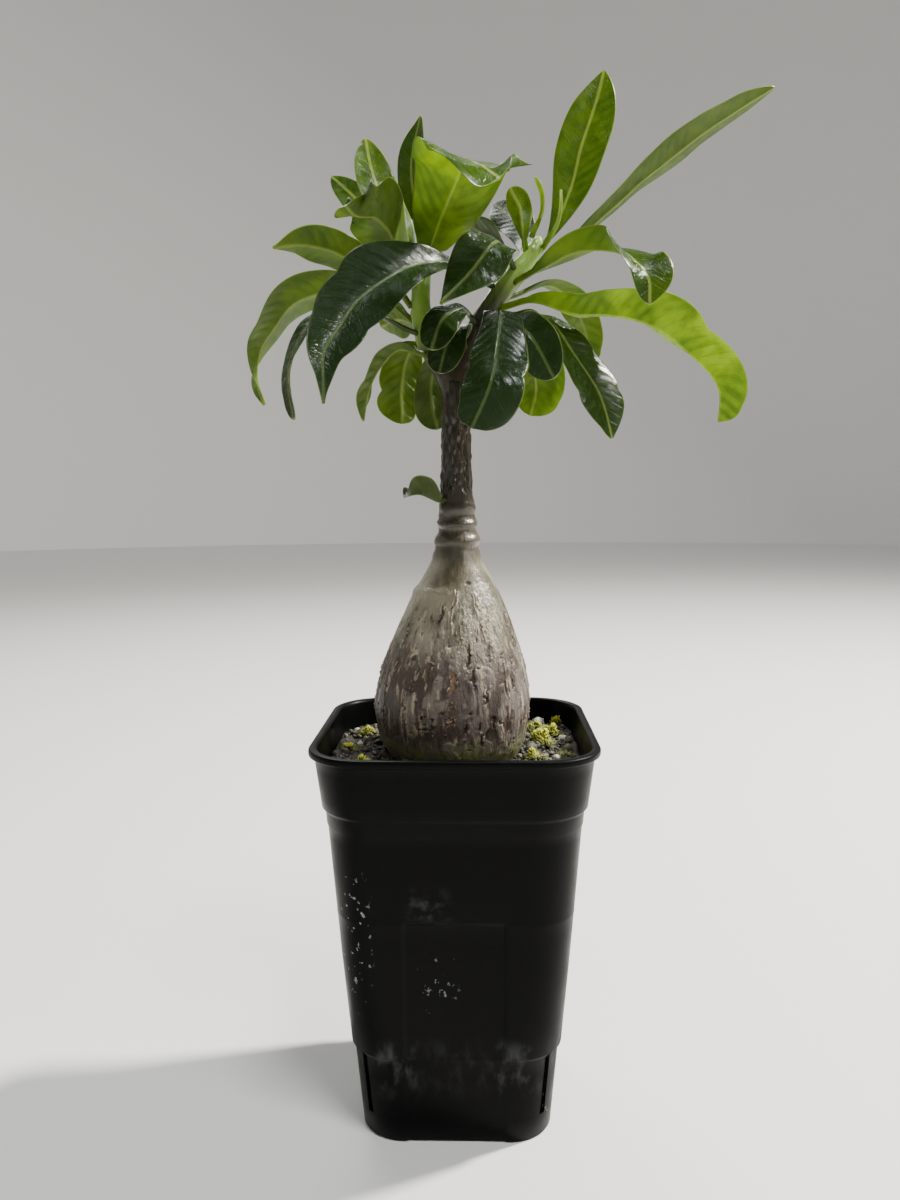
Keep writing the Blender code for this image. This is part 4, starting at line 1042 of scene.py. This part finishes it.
def build_leaf(name, leaf):
    """A leaf: cross sections of a thin closed blade along its midrib.

    The half width follows the outline, cut by rounded lobes. The middle surface rises from the
    midrib by fold, at the margins by curl and in a sine wave, and swells a little between the
    side veins. The blade is thickest at the midrib, which stands out underneath.
    """
    seed = sum(ord(letter) * (k + 1) for k, letter in enumerate(name))
    base = leaf_base(name.split("_")[1], leaf)
    places, tangents = smooth_path([base] + leaf.points, LEAF_ROWS)
    length = np.linalg.norm(np.diff(places, axis=0), axis=1).sum()
    s = np.linspace(0.0, 1.0, LEAF_ROWS + 1)
    q = np.clip((s - STALK_SHARE) / (1 - STALK_SHARE), 0.0, 1.0)
    facing = math.radians(leaf.facing)
    left = np.array([-math.sin(facing), math.cos(facing), 0.0])
    side = unit(left - tangents * (tangents @ left)[:, None])
    up = np.cross(tangents, side)
    turn = np.radians(leaf.roll + leaf.twist * s**3)[:, None]
    side, up = side * np.cos(turn) + up * np.sin(turn), up * np.cos(turn) - side * np.sin(turn)

    half_row = np.sin(np.linspace(-math.pi / 2, math.pi / 2, 2 * LEAF_HALF_COLUMNS + 1))
    half_row = 0.5 * half_row + 0.5 * np.linspace(-1.0, 1.0, 2 * LEAF_HALF_COLUMNS + 1)
    v = np.concatenate([half_row, half_row[-2:0:-1]])[None, :]
    lower = np.concatenate([np.zeros(len(half_row)), np.ones(len(half_row) - 2)])[None, :]
    lower[0, [0, len(half_row) - 1]] = 0.5
    sign = 1 - 2 * lower
    share = outline_share(q, leaf.taper)[:, None]
    ramp = np.clip(LOBE_GROWTH * (q - LOBE_START), 0.0, 1.0)[:, None]
    shift = np.where(v < 0, LOBE_SHIFT, 0.0)
    notch = 1 - np.abs(np.sin(math.pi * (leaf.lobes * q[:, None] + shift)))
    lobing = 1 - leaf.depth * ramp * notch**LOBE_SHARPNESS if leaf.lobes else np.ones_like(notch)
    base_half = STALK_HALF + (TIP_HALF - STALK_HALF) * s[:, None]
    blade = np.clip(leaf.width / 2 - base_half, 0.05, None)
    half = base_half + blade * share * lobing
    x = half * v
    wave = leaf.wave * share * v**2 * np.sin(2 * math.pi * WAVE_COUNT * s[:, None] + np.sign(v))
    rounded = np.sqrt(x**2 + 0.5) - math.sqrt(0.5)
    lift = leaf.fold * rounded + leaf.curl * x**2 / (leaf.width / 2) + wave

    veins = max(3.0, round(length / VEIN_SPACING))
    distance = np.abs(x)
    phase = veins * (q[:, None] - (0.75 * distance + 0.02 * distance**2) / length)
    phase = phase + 0.5 * (v > 0)
    swell = (0.5 - 0.5 * np.cos(2 * math.pi * phase)) * np.sin(math.pi * np.abs(v)) * share
    size = min(1.0, leaf.width / 14)
    puff = 0.30 if leaf.lobes > 2 else 0.16
    lift = lift + puff * size * swell * np.clip(4 * q[:, None], 0, 1)
    bend = np.stack([s[:, None] * length / 9 + 0 * v, x / 6, np.full_like(x, seed % 97)], axis=-1)
    lift = lift + 0.30 * size * share * value_noise(bend, 3)

    thick = MARGIN_THICKNESS + (RIB_THICKNESS - MARGIN_THICKNESS) * np.exp(-(x / 1.3)**2)
    thick = thick * (1 - 0.35 * s[:, None])
    stalk = 1 - smooth_step(q, 0.0, 0.22)[:, None]
    thick = thick * (1 - stalk) + stalk * 1.7 * np.sqrt(np.clip(1 - 0.72 * v**2, 0, 1))
    across = np.sqrt(np.clip(1 - np.abs(v)**10, 0, 1))
    rib = np.exp(-(x / 0.75)**2) * (1 - 0.8 * s[:, None]) * (1 - stalk)
    rib = rib * np.clip(leaf.width / 10, 0.3, 1)
    drop = sign * thick / 2 * across - lower * 0.45 * rib - (1 - lower) * 0.16 * rib
    grid = places[:, None] + side[:, None] * x[..., None] + up[:, None] * (lift + drop)[..., None]
    into = grid[0] - tangents[0] * LEAF_SUNK
    grid = np.concatenate([into[None], grid])

    def extend(values):
        """Numbers for the sunk row as well, the same as at the stalk."""
        values = np.broadcast_to(values, (len(s), v.shape[1]))
        return np.concatenate([values[:1], values])

    numbers = {
        "tone": extend(leaf.tone),
        "under": extend(lower),
        "rib": extend(distance + 0.35 * stalk),
        "rim": extend(np.clip(half, 0.3, None) * (1 - np.abs(v)) + 1.5 * stalk),
        "phase": extend(phase),
        "fade": extend(smooth_step(q[:, None], 0.05, 0.2) * smooth_step(np.abs(v), 1.02, 0.75)),
    }
    along = np.broadcast_to(s[:, None] * length, x.shape)
    uv = np.stack([extend(along + seed % 53 * 7.0), extend(x)], axis=-1) * 0.01
    return wear(skin(name + "_blade", grid, numbers, uv), leaf_material, name)


# Soil, stones and moss

SOIL_TOP_Z = 119.5
SOIL_RINGS = 64
SOIL_COLUMNS = 260
GRIT_COUNT = 1100
GRIT_NEAREST = 19.5             # from the middle, just under the trunk's foot
# The pale stones that show in the photo, then others round the trunk: place and half width
PALE_STONES = [
    (30, 38, 3.0), (-14, -29, 1.9), (-30, -20, 1.4), (33, -8, 1.6), (-34, 12, 1.5),
    (26, -27, 1.3), (-20, 33, 1.7), (12, 36, 1.4), (-37, 30, 1.5), (37, 14, 1.6),
]
GRIT_COLOURS = (0.006, 0.005, 0.002), (0.085, 0.072, 0.044)
STONE_COLOURS = (0.16, 0.14, 0.11), (0.55, 0.53, 0.48)


def soil_height(x, y):
    """The soil's rough top: broad mounds with crumbs on them."""
    place = np.stack([x, y, np.zeros_like(x)], axis=-1)
    return SOIL_TOP_Z - 0.2 + 0.9 * fractal(place / 11.0, 71, 2) + 0.5 * fractal(place / 2.6, 73, 3)


def inner_plan(height, angle, inset):
    """The pot's inner outline at a height, as a distance from the middle for each angle."""
    half = (collar_half(height) if height > COLLAR_FOOT_Z else body_half(height)) - inset
    corner = body_corner(height) - inset
    edge = half - corner
    c, s = np.abs(np.cos(angle)), np.abs(np.sin(angle))
    flat = half / np.maximum(c, s)
    along = edge * (c + s)
    arc = along + np.sqrt(np.maximum(along**2 - 2 * edge**2 + corner**2, 0.0))
    round_part = (flat * np.minimum(c, s)) > edge
    return np.where(round_part, arc, flat)


def build_soil():
    """The soil: its rough top from the trunk to the wall, then down to the pot's floor."""
    angle = np.linspace(0.0, 2 * math.pi, SOIL_COLUMNS, endpoint=False)
    inset = WALL + GAP
    wall = inner_plan(SOIL_TOP_Z, angle, inset)
    rows = []
    for share in np.linspace(0.02, 1.0, SOIL_RINGS):
        r = wall * share
        x, y = r * np.cos(angle), r * np.sin(angle)
        rows.append(np.column_stack([x, y, soil_height(x, y)]))
    for z in (112.0, 100.0, 80.0, 60.0, 40.0, FOOT_TOP_Z + 1.0, 28.0, 15.0, FLOOR + GAP):
        r = inner_plan(z, angle, inset + PANEL_DEPTH)
        rows.append(np.column_stack([r * np.cos(angle), r * np.sin(angle), np.full(len(angle), z)]))
    return wear(skin("soil_bed", np.array(rows)), soil_finish(), "soil")


def pebble():
    """A small ball of five rows of eight points and two poles, as points and faces."""
    lat = np.linspace(-1.1, 1.1, 5)
    lon = np.linspace(0, 2 * math.pi, 8, endpoint=False)
    grid = np.stack([np.outer(np.cos(lat), np.cos(lon)), np.outer(np.cos(lat), np.sin(lon)),
                     np.outer(np.sin(lat), np.ones(8))], axis=-1)
    points = np.concatenate([grid.reshape(-1, 3), [[0, 0, -1]], [[0, 0, 1]]])
    faces = skin_faces(5, 8)
    if volume(points, faces) < 0:
        faces = [face[::-1] for face in faces]
    return points, faces


def scatter(count, draw, low, high):
    """Places on the soil between the trunk and the wall, kept where low and high allow it."""
    places = np.zeros((0, 2))
    while len(places) < count:
        spots = draw.uniform(-42, 42, (count * 3, 2))
        angle = np.arctan2(spots[:, 1], spots[:, 0])
        reach = np.hypot(spots[:, 0], spots[:, 1])
        room = inner_plan(SOIL_TOP_Z, angle, WALL + 1.4)
        spots = spots[(reach < room * high) & (reach > low)]
        places = np.concatenate([places, spots])
    return places[:count]


def repeat(name, form, centres, sizes, turns, squash, shades, bend=None):
    """Many copies of a small form: each is squashed, turned about +Z, sized and moved."""
    points, faces = form
    local = points[None] * squash[:, None] * sizes[:, None, None]
    c, s = np.cos(turns)[:, None], np.sin(turns)[:, None]
    turned = np.stack([local[..., 0] * c - local[..., 1] * s, local[..., 0] * s + local[..., 1] * c,
                       local[..., 2]], axis=-1)
    if bend is not None:
        turned = turned + bend
    placed = (turned + centres[:, None]).reshape(-1, 3)
    count = len(points)
    every = []
    for size in (3, 4):
        chosen = np.array([face for face in faces if len(face) == size])
        if len(chosen):
            moved = chosen[None] + (np.arange(len(centres)) * count)[:, None, None]
            every += moved.reshape(-1, size).tolist()
    return make_piece(name, placed, every, {"shade": shades})


def build_stones():
    """Grit and pebbles: small balls with uneven points, sunk a third of their size."""
    draw = np.random.default_rng(5)
    form = pebble()
    count = GRIT_COUNT
    spots = scatter(count, draw, GRIT_NEAREST, 1.0)
    size = draw.uniform(0.45, 1.1, count) * np.where(draw.random(count) < 0.12, 1.9, 1.0)
    height = soil_height(spots[:, 0], spots[:, 1]) + 0.25 * size
    centres = np.column_stack([spots, height])
    squash = draw.uniform(0.65, 1.15, (count, 3)) * [1.0, 1.0, 0.75]
    uneven = draw.normal(0.0, 0.09, (count, len(form[0]), 3)) * size[:, None, None]
    shade = np.repeat(draw.random(count)**2, len(form[0]))
    grit = repeat("grit", form, centres, size, draw.uniform(0, 6.3, count), squash, shade, uneven)
    wear(grit, grit_finish("grit", *GRIT_COLOURS))

    seen, size = np.split(np.array(PALE_STONES), [2], axis=1)
    size = size[:, 0]
    count = len(seen)
    height = soil_height(seen[:, 0], seen[:, 1]) + 0.35 * size
    squash = draw.uniform(0.75, 1.1, (count, 3)) * [1.0, 0.9, 0.7]
    uneven = draw.normal(0.0, 0.06, (count, len(form[0]), 3)) * size[:, None, None]
    shade = np.repeat(draw.uniform(0.5, 1.0, count), len(form[0]))
    stones = repeat("pale_stones", form, np.column_stack([seen, height]), size,
                    draw.uniform(0, 6.3, count), squash, shade, uneven)
    wear(stones, grit_finish("pale_stone", *STONE_COLOURS))


LEAFLETS = 30                   # moss leaflets for each square millimetre of half widths
LEAFLET_SQUASH = (0.42, 0.30, 1.0)
# Moss cushions: middle, half width along x and y, height
CUSHIONS = [
    (29, 8, 5, 6, 3.4), (34, 21, 4, 6, 3.6), (26, -12, 4, 4, 2.2), (36, -3, 3, 5, 2.4),
    (28, 28, 5, 4, 3.4), (-31, -15, 4, 4, 2.2), (-23, -28, 5, 3, 2.2), (-36, 4, 3, 4, 1.8),
    (12, 33, 6, 3, 2.4), (-15, 35, 5, 3, 1.8), (20, -31, 5, 3, 2.0), (37, 35, 3, 3, 2.2),
    (-33, 22, 4, 4, 1.8), (5, -31, 6, 2.5, 1.8), (-6, -33, 4, 2, 1.4),
]


def build_moss():
    """Moss: short pointed leaflets that lean out of round cushions."""
    draw = np.random.default_rng(9)
    form = (np.array([[1, 0, 0], [-0.5, 0.87, 0], [-0.5, -0.87, 0], [0, 0, 1.0]]),
            [[0, 1, 3], [1, 2, 3], [2, 0, 3], [2, 1, 0]])
    centres, lean, sizes, shades = [], [], [], []
    for x, y, wide, deep, tall in CUSHIONS:
        count = int(LEAFLETS * wide * deep)
        spot = draw.normal(0.0, 0.42, (count, 2))
        reach = np.clip(1 - (spot**2).sum(1), 0.0, 1.0)
        px, py = x + spot[:, 0] * wide, y + spot[:, 1] * deep
        room = inner_plan(SOIL_TOP_Z, np.arctan2(py, px), WALL + 1.0)
        keep = (np.hypot(px, py) < room) & (np.hypot(px + 1, py) > 21.5)
        clump = 1.3 * value_noise(np.column_stack([px, py, 0 * px]) / 1.9, 77) + 0.6
        clump = np.clip(clump, 0.05, 1.5)
        pz = soil_height(px, py) - 0.3 + tall * reach * clump
        centres.append(np.column_stack([px, py, pz])[keep])
        out = np.column_stack([spot, 0 * px]) + draw.normal(0, 0.35, (count, 3)) * [1, 1, 0]
        lean.append(out[keep])
        sizes.append(draw.uniform(0.7, 1.3, count)[keep])
        # Painted shade: leaflets low in a cushion get a darker shade
        shades.append(np.clip((reach * clump)**1.5 * 0.9 + draw.normal(0, 0.12, count), 0, 1)[keep])
    centres, lean = np.concatenate(centres), np.concatenate(lean)
    sizes, shades = np.concatenate(sizes), np.concatenate(shades)
    tip = np.zeros((len(centres), 4, 3))
    tip[:, 3] = lean * sizes[:, None]
    squash = np.tile(LEAFLET_SQUASH, (len(centres), 1))
    # Painted shade at each leaflet's base, which is darker than its tip
    per_point = np.repeat(shades, 4) * np.tile([0.6, 0.6, 0.6, 1.0], len(centres))
    moss = repeat("moss", form, centres, sizes, draw.uniform(0, 6.3, len(centres)), squash,
                  per_point, tip)
    return wear(moss, moss_finish())


def build_floor():
    """The pale floor that the pot stands on."""
    side = np.array([[-1, -1, 0], [1, -1, 0], [1, 1, 0], [-1, 1, 0]], float)
    floor = make_piece("floor", side * FLOOR_HALF / MM, [[0, 1, 2, 3]])
    floor.data.materials.append(stage_finish("studio_floor", 0.8, True))


def build_backdrop():
    """A pale round wall about the stage."""
    angle = np.radians(np.linspace(0.0, 360.0, BACKDROP_SIDES + 1))
    foot = np.column_stack([np.cos(angle), np.sin(angle), 0 * angle]) * BACKDROP_RADIUS / MM
    points = np.concatenate([foot, foot + [0.0, 0.0, BACKDROP_HEIGHT / MM]])
    count = len(angle)
    faces = [[i + 1, i, count + i, count + i + 1] for i in range(count - 1)]
    wall = make_piece("backdrop", points, faces)
    wall.data.materials.append(stage_finish("studio_backdrop", 0.9, False))


place_camera()
place_lights()
build_floor()
build_backdrop()
bark_material = bark_finish()
leaf_material = leaf_finish()
build_pot()
build_soil()
build_stones()
build_moss()
build_trunk()
build_branch("left")
build_branch("right")
for leaf_name, leaf_row in LEAVES.items():
    build_leaf(leaf_name, leaf_row)
